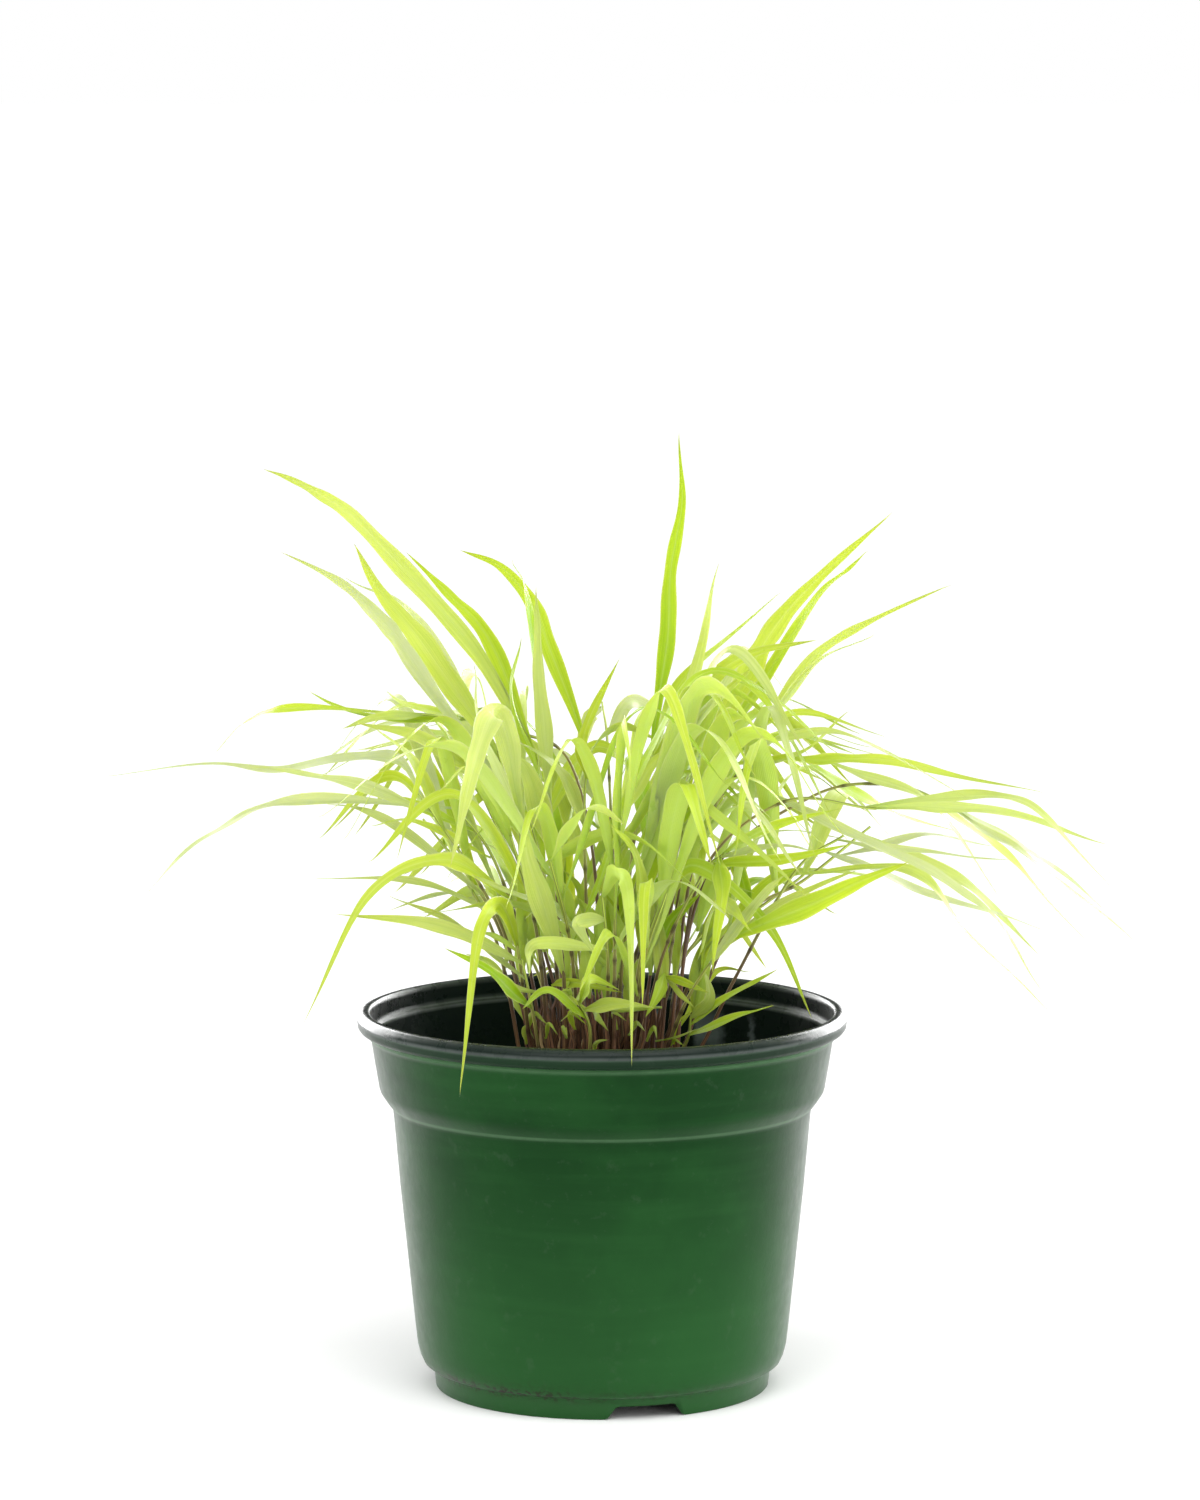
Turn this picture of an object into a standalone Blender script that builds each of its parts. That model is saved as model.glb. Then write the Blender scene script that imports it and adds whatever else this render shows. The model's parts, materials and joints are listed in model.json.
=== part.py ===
"""Japanese forest grass in a round nursery pot, standing on its foot ring.

The frame is in metres with +Z up. The origin is the middle of the foot ring's underside, and -Y faces the viewer.
The lengths below are in millimetres and are turned into metres where a mesh is made.
"""

import math
import random

import bmesh
import bpy
from mathutils import Matrix, Vector
from mathutils.bvhtree import BVHTree

MM = 0.001

# The pot: a 165 mm nursery pot with a rolled lip, a collar, a tapered body and a notched foot ring.
SIDES = 38
POT_HEIGHT = 128.0
RIM_RADIUS = 82.5
LIP_DEPTH = 6.8
COLLAR_TOP_RADIUS = 77.8
COLLAR_FOOT_RADIUS = 75.0
COLLAR_FOOT_HEIGHT = 100.5
STEP_RADIUS = 70.5
STEP_HEIGHT = 93.5
BODY_FOOT_RADIUS = 62.3
BODY_FOOT_HEIGHT = 14.4
FOOT_RADIUS = 55.8
FOOT_HEIGHT = 7.0
WALL = 1.2
FLOOR_HEIGHT = 9.0
DRAIN_RADIUS = 5.0
DRAIN_SIDES = 10
DRAIN_COUNT = 3
DRAIN_CIRCLE = 40.0
NOTCH_COUNT = 3
NOTCH_WIDTH = 28.0
NOTCH_HEIGHT = 4.5
FIRST_NOTCH = math.radians(-75.0)
NOTCH_INWARD = 8.0
NOTCH_OUTWARD = 5.0
CUT_PAST = 2.0

# The potting mix: its height at the wall and in the middle, its gap to the pot, and the holes the stems stand in.
MIX_EDGE_HEIGHT = 92.0
MIX_SHOULDER_HEIGHT = 97.0
MIX_SHOULDER_RADIUS = 44.0
MIX_MIDDLE_HEIGHT = 99.0
MIX_GAP = 0.4
HOLE_DEPTH_HEIGHT = 89.0
HOLE_RADIUS = 1.95
HOLE_SIDES = 4

# The stems and blades.
CULM_RADIUS = 0.95
CULM_TIP_RADIUS = 0.5
CULM_SIDES = 3
CULM_STEPS = 5
STRAIGHT_HEIGHT = 104.0
FEWEST_BLADE_STEPS = 4
BLADE_ROOT_WIDTH = 0.9
BLADE_ROOT_SHARE = 0.1
BLADE_SPREAD = 3.3
BLADE_TAPER = 1.8
FIRST_BLADE_SHARE = 0.99
BLADE_SHARE_STEP = 0.1
TRACED_TWIST = 0.35
BLADE_THICKNESS = 0.7
BLADE_TIP_THICKNESS = 0.6
YOUNG_SHOWN = 2.7
YOUNG_WIDTH = 4.5
GROWN_WIDTH = 6.0
SLIM_SHARE = 0.75
WIDEST_WIDTH = 10.5
CLEARANCE = 0.7
CROWN_SPOTS = 66
CROWN_SPACING = 3.75
ROOT_FACES = 10
NUDGES = (0, 6, -6, 12, -12, 18, -18, 25, -25, 33, -33)
CULM_NUDGE = 0.6

# The stems of the middle, the sides and the back.
TILLER_COUNT = 28
TILLER_TRIES = 60
BLADE_TRIES = 60
SEED = 27
GOLDEN_SHARE = 0.618
BACK_FAN = (-25.0, 230.0)
FRONT_FAN = (-130.0, 80.0)
FEET_CIRCLE = 24.0
HEADING_SPREAD = 0.4
CULM_REACH = (14.0, 52.0)
CULM_HEIGHT = (142.0, 208.0)
CULM_BOW = 0.35
BLADE_LENGTH = (58.0, 112.0)
BLADE_CLIMB = (0.15, 0.95)
BLADE_DROOP = (0.0, 0.6)
BLADE_PEAK = 0.42
BLADE_REACH = 0.92
BLADE_WIDTH = (5.5, 9.5)
BLADE_ROLL = 0.9
BLADE_TWIST = 0.7
BLADE_TURNS = (0.5, -1.0, 1.5, -0.5, 1.0, -1.5)
BLADE_TURN_SPREAD = 0.7
FRONT_EVERY = 4

# The room that those stems keep to, as the eye sees it: a dip in the middle of the crown, a fall to the sides, and a
# lowest height that rises to the sides, lower at the back.
REACH_DEPTH = 142.0
REACH_SIDE = 98.0
CROWN_MIDDLE = 220.0
CROWN_RISE = 0.8
CROWN_TOP = 262.0
CROWN_FALL = 0.005
CORE_SIDE = 25.0
FRONT_FLOOR = 128.0
BACK_FLOOR = 116.0
BACK_DEPTH = 40.0
FLOOR_RISE = 0.8
POT_MOUTH = 30.0

# The eye that the front view was measured from. A place below is x and z as that eye sees them in the pot's middle
# plane, then how far back (+) or forward (-) of that plane the point lies.
EYE = Vector((-0.7, -1985.0, 459.6))

# Each stem: its foot on the mix (x, y), the places its culm passes, then its blades. A blade has the share of the culm
# where it leaves it, the width that shows from the front, and the places it passes, ending in its tip.
STEMS = {
    "left_long": ((-20, -4), ((-24, 116, -6), (-32, 151, -5), (-42, 172, -4), (-55, 192, -3), (-62, 202, -2)), (
        (0.94, 4.4, ((-69, 213, 4), (-87, 213, 14), (-107, 209.5, 26), (-130, 211, 38), (-168, 207, 50))),
        (0.88, 3.7, ((-82, 204, -12), (-100, 208, -22), (-118, 210, -28))),
        (0.80, 4.0, ((-64, 213, -20), (-77, 224, -28))),
        (0.62, 3.7, ((-72, 192, 12), (-93, 198, 22))))),
    "right_long": ((22, 8), ((34, 170, 12), (70, 200, 16), (98, 204, 10), (119, 196, 0)), (
        (0.97, 3.0, ((148, 176, -30), (179.5, 151, -60))),
        (0.90, 2.4, ((135, 181, 26), (163, 151, 34))),
        (0.99, 2.6, ((145, 181, 14), (169, 162, 20))))),
    "front_drooping": ((-10, -20), ((-14, 150, -34), (-28, 196, -44)), (
        (0.97, 10.0, ((-35, 228, -74), (-43, 210, -112), (-51, 176, -145))),
        (0.50, 8.4, ((-24, 176, -54), (-26, 190, -58))),
        (0.80, 3.0, ((-40, 222, -34), (-43, 245, -36))))),
    "back_drooping": ((2, 20), ((4, 160, 34), (2, 215, 56), (0, 232, 72)), (
        (0.97, 6.0, ((-6, 222, 100), (-12, 176, 145))),
        (0.80, 6.0, ((12, 232, 76), (34, 214, 110))),
        (0.60, 6.0, ((-14, 214, 60), (-38, 206, 96))))),
    "tallest": ((6, 8), ((10, 180, 10), (17, 216, 12)), (
        (0.98, 6.8, ((21, 249, 14), (23, 275, 15), (26.5, 299, 16), (25.6, 322.6, 18))),
        (0.93, 6.7, ((36, 239, 0), (49, 248, -4), (72, 253, -10))),
        (0.80, 4.0, ((27, 239, 26), (60, 269, 36))))),
    "top_right_wide": ((14, 10), ((22, 175, 12), (32, 208, 14)), (
        (0.98, 9.2, ((47, 239, 15), (57, 256, 16), (72, 273.5, 18), (97, 296, 20))),
        (0.90, 4.7, ((69, 263, 30), (89, 283, 36))),
        (0.70, 4.0, ((39, 206, -20), (57, 192, -36))))),
    "top_left_long": ((-10, 4), ((-18, 185, 6), (-22, 216, 10)), (
        (0.97, 7.4, ((-47, 255, 13), (-79, 290, 18), (-97, 303.5, 22), (-113, 310.2, 25))),
        (0.90, 6.2, ((-38, 253, 12), (-51, 268, 14), (-65.5, 282.5, 18))),
        (0.80, 3.0, ((-30, 235, -6), (-27, 254, -8))))),
    "top_left_wide": ((-16, -2), ((-26, 180, 0), (-35, 216, 2)), (
        (0.97, 10.2, ((-50, 238, -2), (-62, 254, -6), (-74, 269, -8), (-83, 285.5, -10))),
        (0.90, 4.0, ((-61, 259, 8), (-86, 274, 14))),
        (0.80, 6.6, ((-63, 245, -12), (-74, 260, -16), (-87, 272, -20), (-107.5, 282.5, -26))))),
    "top_middle": ((-4, 6), ((-6, 190, 8), (-4, 215, 10)), (
        (0.97, 7.2, ((-16, 247, 13), (-23, 264, 16), (-34, 277.5, 19), (-47.5, 283, 22))),
        (0.60, 5.0, ((-13, 208, -12), (-29, 219, -20))),
        (0.80, 5.7, ((-6, 221, -8), (6, 247, -12))))),
    "middle_upright": ((-12, -8), ((-16, 180, -12), (-19, 213, -14)), (
        (0.97, 3.4, ((-24, 262, 0), (-30, 280, 4))),
        (0.75, 6.0, ((-21, 239, -20), (-22, 271, -22))),
        (0.60, 9.0, ((-24, 205, -32), (-29, 215, -38))))),
    "left_arc": ((0, 10), ((-2, 170, 12), (-11, 212, 10), (-29, 222, 6), (-43, 226, 2), (-61, 228, 0)), (
        (0.99, 4.0, ((-74, 227, 0), (-87, 223, -2))),
        (0.86, 3.4, ((-65, 231, -5), (-72, 236, -8))),
        (0.84, 3.4, ((-82, 228, 12), (-98, 236, 18))),
        (0.93, 2.4, ((-104, 230, 10), (-118, 226, 20), (-130, 215, 30))))),
    "left_spread": ((-18, 6), ((-24, 140, 6), (-36, 178, 8), (-50, 198, 8)), (
        (0.97, 3.4, ((-101, 199, -10), (-131, 188, -22), (-154, 167, -34))),
        (0.85, 3.4, ((-66, 198, 16), (-80, 198, 24))),
        (0.75, 2.6, ((-64, 192, -8), (-78, 190, -14))))),
    "left_inner": ((-14, 2), ((-20, 150, 2), (-32, 190, 0), (-41, 209, -2)), (
        (0.97, 6.0, ((-61, 220, -24), (-82, 225, -34))),
        (0.88, 5.4, ((-57, 218, 20), (-73, 223, 30))))),
    "right_fine": ((16, -4), ((26, 175, -6), (40, 208, -8), (48, 220, -8)), (
        (0.97, 2.4, ((67, 229, -14), (95, 220, -22))),
        (0.92, 2.6, ((82, 221, -24), (123, 199, -40))),
        (0.86, 2.6, ((64, 221, 4), (85, 214, 10))))),
    "left_low": ((-24, -14), ((-26, 130, -18), (-31, 168, -26)), (
        (0.97, 5.7, ((-52, 179, -34), (-79, 166, -44), (-101, 122, -52))),
        (0.90, 2.6, ((-66, 172, -16), (-97, 172, -26))),
        (0.80, 6.7, ((-34, 164, -44), (-42, 150, -76), (-48, 98, -86))))),
    "left_basal": ((-20, -18), ((-23, 125, -22), (-27, 145, -24)), (
        (0.97, 5.4, ((-57, 157, -32), (-90, 160, -46))),
        (0.85, 2.6, ((-52, 158, -12), (-72, 167, -20))),
        (0.65, 4.7, ((-37, 140, -42), (-53, 149, -54))))),
    "front_hanging": ((2, -22), ((2, 140, -30), (0, 168, -40)), (
        (0.97, 7.0, ((5, 174, -56), (9, 164, -80), (10, 108, -92))),
        (0.85, 6.7, ((-8, 157, -56), (-2, 146, -68))),
        (0.70, 4.7, ((-22, 150, -54), (-25, 139, -64))))),
    "front_inner": ((-6, -12), ((-7, 140, -14), (-10, 163, -18)), (
        (0.97, 3.4, ((-30, 167, -30), (-44, 174, -38))),
        (0.85, 3.4, ((-18, 164, -36), (-26, 158, -44))))),
    "top_right_narrow": ((12, 2), ((17, 180, 0), (23, 212, -2)), (
        (0.97, 4.6, ((33, 251, -10), (39, 279, -14))),
        (0.85, 4.7, ((35, 229, -22), (54, 247, -30))))),
    "middle_right": ((4, -4), ((5, 160, -8), (6, 194, -12)), (
        (0.97, 4.6, ((18, 212, -24), (41, 218, -34))),
        (0.55, 8.4, ((22, 188, -32), (38, 202, -46))),
        (0.85, 6.0, ((22, 204, -40), (42, 191, -56), (69, 166, -68))))),
    "right_high": ((18, 6), ((28, 178, 8), (44, 212, 10), (55, 226, 10)), (
        (0.97, 5.2, ((65, 240, 11), (77, 252, 13), (91, 260, 15), (117, 271.5, 18))),
        (0.93, 2.6, ((72, 245, -2), (91, 255, -8))),
        (0.72, 3.4, ((66, 215, -12), (83, 229, -20))))),
    "right_spread": ((20, 0), ((30, 175, 2), (44, 206, 4), (60, 213, 4), (75, 213, 4)), (
        (0.80, 4.7, ((95, 212, -16), (149, 201, -30))),
        (0.88, 3.4, ((91, 198, 20), (119, 188, 34))),
        (0.97, 3.4, ((111, 197, 0), (133, 166, -6))),
        (0.60, 4.2, ((94, 183, -34), (128, 163, -48), (149, 133, -60))))),
    "right_reaching": ((22, -8), ((32, 170, -10), (60, 198, -14), (92, 196, -18)), (
        (0.97, 3.4, ((130, 201, -26), (150, 192, -34), (171, 169, -40))),
        (0.99, 4.7, ((129, 196, -4), (170, 184, 6))))),
    "right_low_front": ((29, -14), ((35, 118, -15), (45, 139, -16), (65, 175, -18), (81, 187, -20)), (
        (0.80, 2.8, ((103, 175, -30), (126, 151, -40), (151, 127, -50))),
        (0.90, 3.4, ((109, 168, -8), (149, 155, 0))),
        (0.97, 2.6, ((110, 181, -26), (137, 179, -32))))),
    "right_low_back": ((25, -2), ((28, 116, 0), (45, 157, 4), (68, 172, 8), (90, 190, 10)), (
        (0.97, 4.7, ((123, 170, 14), (147, 146, 20))),
        (0.88, 2.4, ((109, 187, 30), (133, 183, 40))))),
    "right_basal": ((18, -20), ((28, 130, -24), (43, 153, -30)), (
        (0.97, 8.4, ((77, 167, -44), (103, 178, -56))),
        (0.90, 4.7, ((64, 166, -26), (86, 175, -30))),
        (0.80, 4.7, ((52, 164, -42), (62, 174, -52))))),
    "right_middle": ((12, -14), ((20, 145, -20), (34, 174, -26), (41, 181, -28)), (
        (0.80, 5.0, ((59, 179, -36), (84, 184, -46))),
        (0.90, 2.6, ((60, 183, -22), (71, 182, -20))),
        (0.97, 3.6, ((59, 191, -46), (81, 196, -58))),
        (0.93, 6.7, ((40, 166, -56), (37, 140, -66))))),
    "right_curling": ((8, -16), ((12, 140, -22), (20, 166, -30)), (
        (0.97, 6.0, ((32, 177, -34), (56, 156, -30), (71, 124, -20))),
        (0.80, 5.0, ((12, 178, -44), (2, 192, -56))))),
    "shoot_right": ((27, -9), ((28, 116, -14), (30, 126, -18)), (
        (0.95, 5.7, ((36, 132, -24), (34, 142, -28))),
        (0.85, 2.8, ((46, 134, -24), (59, 142, -28))),
        (0.70, 3.0, ((46, 126, -34), (58, 129, -40))))),
    "shoot_front": ((-2, -26), ((-4, 120, -32), (-8, 131, -38)), (
        (0.95, 4.0, ((-4, 138, -50), (6, 134, -60))),
        (0.85, 4.4, ((4, 130, -44), (18, 128, -54))),
        (0.75, 3.6, ((-18, 134, -48), (-27, 128, -58))))),
}


def clear_scene():
    """Removes what the scene already holds."""
    for item in list(bpy.data.objects):
        bpy.data.objects.remove(item)


def make_material(name, colour, roughness):
    """One Principled finish."""
    material = bpy.data.materials.new(name)
    material.use_nodes = True
    shader = material.node_tree.nodes["Principled BSDF"]
    shader.inputs["Base Color"].default_value = (*colour, 1.0)
    shader.inputs["Roughness"].default_value = roughness
    shader.inputs["Metallic"].default_value = 0.0
    return material


def make_object(name, points, faces, material):
    """A closed mesh in millimetres becomes an object in metres, with its faces pointing out."""
    mesh = bpy.data.meshes.new(name)
    mesh.from_pydata([Vector(point) * MM for point in points], [], faces)
    shape = bmesh.new()
    shape.from_mesh(mesh)
    bmesh.ops.recalc_face_normals(shape, faces=shape.faces)
    shape.to_mesh(mesh)
    shape.free()
    mesh.materials.append(material)
    item = bpy.data.objects.new(name, mesh)
    bpy.context.scene.collection.objects.link(item)
    return item


def turned(profile, ring_closed):
    """Points and faces of a profile (radius, height) turned about the pot's axis."""
    points = []
    for radius, height in profile:
        for step in range(SIDES):
            angle = math.tau * step / SIDES
            points.append((radius * math.cos(angle), radius * math.sin(angle), height))
    faces = []
    rows = len(profile) if ring_closed else len(profile) - 1
    for row in range(rows):
        here = row * SIDES
        above = ((row + 1) % len(profile)) * SIDES
        for step in range(SIDES):
            side = (step + 1) % SIDES
            faces.append((here + step, here + side, above + side, above + step))
    return points, faces


def wall_profile():
    """Corners of the pot's wall: up the outside from the foot, over the lip, down the inside and under the floor."""
    lip_foot = POT_HEIGHT - LIP_DEPTH
    outside = [
        (FOOT_RADIUS, 0.0),
        (FOOT_RADIUS + 1.2, FOOT_HEIGHT - 1.0),
        (FOOT_RADIUS + 3.5, FOOT_HEIGHT + 0.5),
        (BODY_FOOT_RADIUS - 0.9, FOOT_HEIGHT + 4.5),
        (BODY_FOOT_RADIUS + 0.6, BODY_FOOT_HEIGHT + 4.0),
        (STEP_RADIUS, STEP_HEIGHT),
        (COLLAR_FOOT_RADIUS - 1.8, COLLAR_FOOT_HEIGHT - 3.5),
        (COLLAR_FOOT_RADIUS, COLLAR_FOOT_HEIGHT),
        (COLLAR_TOP_RADIUS, lip_foot - 3.8),
        (COLLAR_TOP_RADIUS + 0.9, lip_foot - 2.2),
        (COLLAR_TOP_RADIUS + 0.2, lip_foot - 0.6),
        (RIM_RADIUS - 1.0, lip_foot),
        (RIM_RADIUS, lip_foot + 1.5),
        (RIM_RADIUS, POT_HEIGHT - 2.4),
        (RIM_RADIUS - 1.2, POT_HEIGHT - 0.4),
    ]
    inside = [
        (RIM_RADIUS - 3.0, POT_HEIGHT),
        (RIM_RADIUS - 4.2, POT_HEIGHT - 0.9),
        (RIM_RADIUS - 4.5, lip_foot + 0.9),
        (COLLAR_TOP_RADIUS - WALL, lip_foot - 0.6),
        (COLLAR_FOOT_RADIUS - WALL, COLLAR_FOOT_HEIGHT),
        (COLLAR_FOOT_RADIUS - 1.8 - WALL, COLLAR_FOOT_HEIGHT - 3.2),
        (STEP_RADIUS - WALL, STEP_HEIGHT - 0.2),
        (BODY_FOOT_RADIUS + 0.6 - WALL, BODY_FOOT_HEIGHT + 4.0),
        (BODY_FOOT_RADIUS - 3.7, FLOOR_HEIGHT + 0.8),
        (DRAIN_RADIUS, FLOOR_HEIGHT),
        (DRAIN_RADIUS, FLOOR_HEIGHT - 1.4),
        (FOOT_RADIUS - 2.0, FLOOR_HEIGHT - 1.2),
        (FOOT_RADIUS - 1.7, 0.0),
    ]
    return outside + inside


def notch_cutters(material):
    """Slant-ended blocks that cut the notches out of the foot ring, which let water run away."""
    half = NOTCH_WIDTH / 2
    wide = half + CUT_PAST
    narrow = half - NOTCH_HEIGHT
    block = []
    for radius in (FOOT_RADIUS - NOTCH_INWARD, FOOT_RADIUS + NOTCH_OUTWARD):
        block += [(radius, -wide, -CUT_PAST), (radius, wide, -CUT_PAST)]
        block += [(radius, narrow, NOTCH_HEIGHT), (radius, -narrow, NOTCH_HEIGHT)]
    faces = [(0, 1, 2, 3), (4, 5, 6, 7), (0, 1, 5, 4), (1, 2, 6, 5), (2, 3, 7, 6), (3, 0, 4, 7)]
    cutters = []
    for count in range(NOTCH_COUNT):
        turn = Matrix.Rotation(FIRST_NOTCH + math.tau * count / NOTCH_COUNT, 3, "Z")
        points = [turn @ Vector(corner) for corner in block]
        cutters.append(make_object(f"cut_notch_{count}", points, faces, material))
    return cutters


def upright_prism(name, x, y, bottom, top, radius, sides, material):
    """A closed upright prism, used as a cutter."""
    points = []
    for height in (bottom, top):
        for step in range(sides):
            angle = math.tau * (step + 0.5) / sides
            points.append((x + radius * math.cos(angle), y + radius * math.sin(angle), height))
    faces = [tuple(range(sides)), tuple(range(sides, 2 * sides))]
    for step in range(sides):
        side = (step + 1) % sides
        faces.append((step, side, sides + side, sides + step))
    return make_object(name, points, faces, material)


def drain_cutters(material):
    """Round holes through the pot's floor, between the notches."""
    cutters = []
    for count in range(DRAIN_COUNT):
        angle = FIRST_NOTCH + math.tau * (count + 0.5) / DRAIN_COUNT
        x = DRAIN_CIRCLE * math.cos(angle)
        y = DRAIN_CIRCLE * math.sin(angle)
        low = FLOOR_HEIGHT - 2 * CUT_PAST
        high = FLOOR_HEIGHT + CUT_PAST
        cutters.append(upright_prism(f"cut_drain_{count}", x, y, low, high, DRAIN_RADIUS, DRAIN_SIDES, material))
    return cutters


def join(item, others, operation, solver="EXACT"):
    """Applies one Boolean of a collection of closed pieces to an object, then removes those pieces."""
    group = bpy.data.collections.new("pieces")
    for other in others:
        group.objects.link(other)
    modifier = item.modifiers.new("join", "BOOLEAN")
    modifier.operation = operation
    modifier.operand_type = "COLLECTION"
    modifier.collection = group
    modifier.solver = solver
    graph = bpy.context.evaluated_depsgraph_get()
    mesh = bpy.data.meshes.new_from_object(item.evaluated_get(graph))
    item.modifiers.clear()
    item.data = mesh
    for other in others:
        bpy.data.objects.remove(other)
    bpy.data.collections.remove(group)


def shade(item, degrees):
    """Smooth shading with the corners kept sharp."""
    item.data.shade_smooth()
    item.data.set_sharp_from_angle(angle=math.radians(degrees))


def build_pot(material):
    """The moulded pot, with its notches and drain holes cut."""
    points, faces = turned(wall_profile(), True)
    pot = make_object("pot", points, faces, material)
    join(pot, notch_cutters(material) + drain_cutters(material), "DIFFERENCE")
    shade(pot, 30)
    return pot


def mix_profile():
    """Outline of the potting mix from under its middle, up along the pot's wall and over its mounded top."""
    wall = WALL + MIX_GAP
    slope = (STEP_RADIUS - BODY_FOOT_RADIUS - 0.6) / (STEP_HEIGHT - BODY_FOOT_HEIGHT - 4.0)
    edge = STEP_RADIUS - wall - (STEP_HEIGHT - MIX_EDGE_HEIGHT) * slope
    return [
        (BODY_FOOT_RADIUS - 4.3, FLOOR_HEIGHT + 1.3),
        (BODY_FOOT_RADIUS + 0.6 - wall, BODY_FOOT_HEIGHT + 4.0),
        (edge, MIX_EDGE_HEIGHT),
        (MIX_SHOULDER_RADIUS, MIX_SHOULDER_HEIGHT),
    ]


def build_mix(feet, material):
    """The potting mix, with a plain hole for each stem."""
    points, faces = turned(mix_profile(), False)
    rings = len(mix_profile())
    points.append((0.0, 0.0, FLOOR_HEIGHT + 0.6))
    points.append((0.0, 0.0, MIX_MIDDLE_HEIGHT))
    last = (rings - 1) * SIDES
    for step in range(SIDES):
        side = (step + 1) % SIDES
        faces.append((step, side, rings * SIDES))
        faces.append((last + step, last + side, rings * SIDES + 1))
    mix = make_object("potting_mix", points, faces, material)
    cutters = []
    for count, (x, y) in enumerate(feet):
        name = f"cut_hole_{count}"
        high = MIX_MIDDLE_HEIGHT + CUT_PAST
        cutters.append(upright_prism(name, x, y, HOLE_DEPTH_HEIGHT, high, HOLE_RADIUS, HOLE_SIDES, material))
    join(mix, cutters, "DIFFERENCE")
    shade(mix, 30)
    return mix


def set_back(place):
    """The real point of a place seen from the eye, at its own depth."""
    x, z, depth = place
    seen = Vector((x, 0.0, z))
    return EYE + (seen - EYE) * ((depth - EYE.y) / -EYE.y)


def seen_at(point):
    """Where the eye sees a point in the middle plane."""
    there = EYE + (point - EYE) * (EYE.y / (EYE.y - point.y))
    return there.x, there.z


def smooth_curve(knots, steps, lead=None):
    """Points at even steps along a smooth curve through the knots."""
    first = lead if lead is not None else knots[0] * 2 - knots[1]
    knots = [first] + list(knots) + [knots[-1] * 2 - knots[-2]]
    spans = len(knots) - 3
    points = []
    for step in range(steps + 1):
        place = spans * step / steps
        span = min(int(place), spans - 1)
        t = place - span
        a, b, c, d = knots[span:span + 4]
        points.append(0.5 * (2 * b + (c - a) * t + (2 * a - 5 * b + 4 * c - d) * t * t
                             + (3 * b - a - 3 * c + d) * t * t * t))
    return points


def along(points, share):
    """The point at a share of a line of points."""
    place = share * (len(points) - 1)
    step = min(int(place), len(points) - 2)
    return points[step].lerp(points[step + 1], place - step)


def directions(points):
    """Unit directions of travel at each point of a line."""
    ways = []
    for step in range(len(points)):
        before = points[max(step - 1, 0)]
        after = points[min(step + 1, len(points) - 1)]
        ways.append((after - before).normalized())
    return ways


def tube(points, radii, sides):
    """Points and faces of a closed tube along a line."""
    ways = directions(points)
    across = ways[0].orthogonal().normalized()
    rings = []
    for point, way, radius in zip(points, ways, radii):
        across = (across - way * across.dot(way)).normalized()
        other = way.cross(across)
        for step in range(sides):
            angle = math.tau * (step + 0.5) / sides
            rings.append(point + (across * math.cos(angle) + other * math.sin(angle)) * radius)
    faces = [tuple(range(sides)), tuple(range(len(rings) - sides, len(rings)))]
    for row in range(len(points) - 1):
        for step in range(sides):
            side = (step + 1) % sides
            here = row * sides
            faces.append((here + step, here + side, here + side + sides, here + step + sides))
    return rings, faces


def blade_frames(points, facing, roll, twist):
    """The sideways direction of a blade at each point: across the facing direction, rolled, and twisted to its tip."""
    ways = directions(points)
    sideways = []
    for step, way in enumerate(ways):
        across = way.cross(facing).normalized()
        if sideways and across.dot(plain) < 0:
            across = -across
        plain = across
        angle = roll + twist * step / (len(points) - 1)
        sideways.append(Matrix.Rotation(angle, 3, way) @ across)
    return ways, sideways


def blade_mesh(points, facing, width, roll, twist, extra=0.0):
    """Points and faces of a closed tapering blade. Both broad faces are split along the same diagonals."""
    ways, sideways = blade_frames(points, facing, roll, twist)
    last = len(points) - 1
    corners = []
    for step, point in enumerate(points):
        share = step / last
        normal = sideways[step].cross(ways[step])
        thick = BLADE_THICKNESS + (BLADE_TIP_THICKNESS - BLADE_THICKNESS) * share
        up = normal * (thick + extra) / 2
        if step == last and extra == 0.0:
            corners += [point + up, point - up]
            continue
        wide = max(BLADE_ROOT_WIDTH, width * min(1.0, BLADE_ROOT_SHARE + BLADE_SPREAD * share))
        wide = wide * (1 - share ** BLADE_TAPER) + extra
        side = sideways[step] * wide / 2
        corners += [point - side + up, point + side + up, point - side - up, point + side - up]
    faces = [(0, 1, 3), (0, 3, 2)]
    full = last if extra else last - 1
    for step in range(full):
        a, b, c, d = (4 * step + corner for corner in range(4))
        e, f, g, h = (4 * step + 4 + corner for corner in range(4))
        faces += [(a, b, f), (a, f, e), (c, d, h), (c, h, g), (a, e, g), (a, g, c), (b, f, h), (b, h, d)]
    if extra:
        a, b, c, d = (4 * last + corner for corner in range(4))
        faces += [(a, b, d), (a, d, c)]
    else:
        a, b, c, d = (4 * full + corner for corner in range(4))
        top = 4 * full + 4
        faces += [(a, b, top), (c, d, top + 1), (a, top, top + 1), (a, top + 1, c), (b, top, top + 1), (b, top + 1, d)]
    return corners, faces


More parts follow.
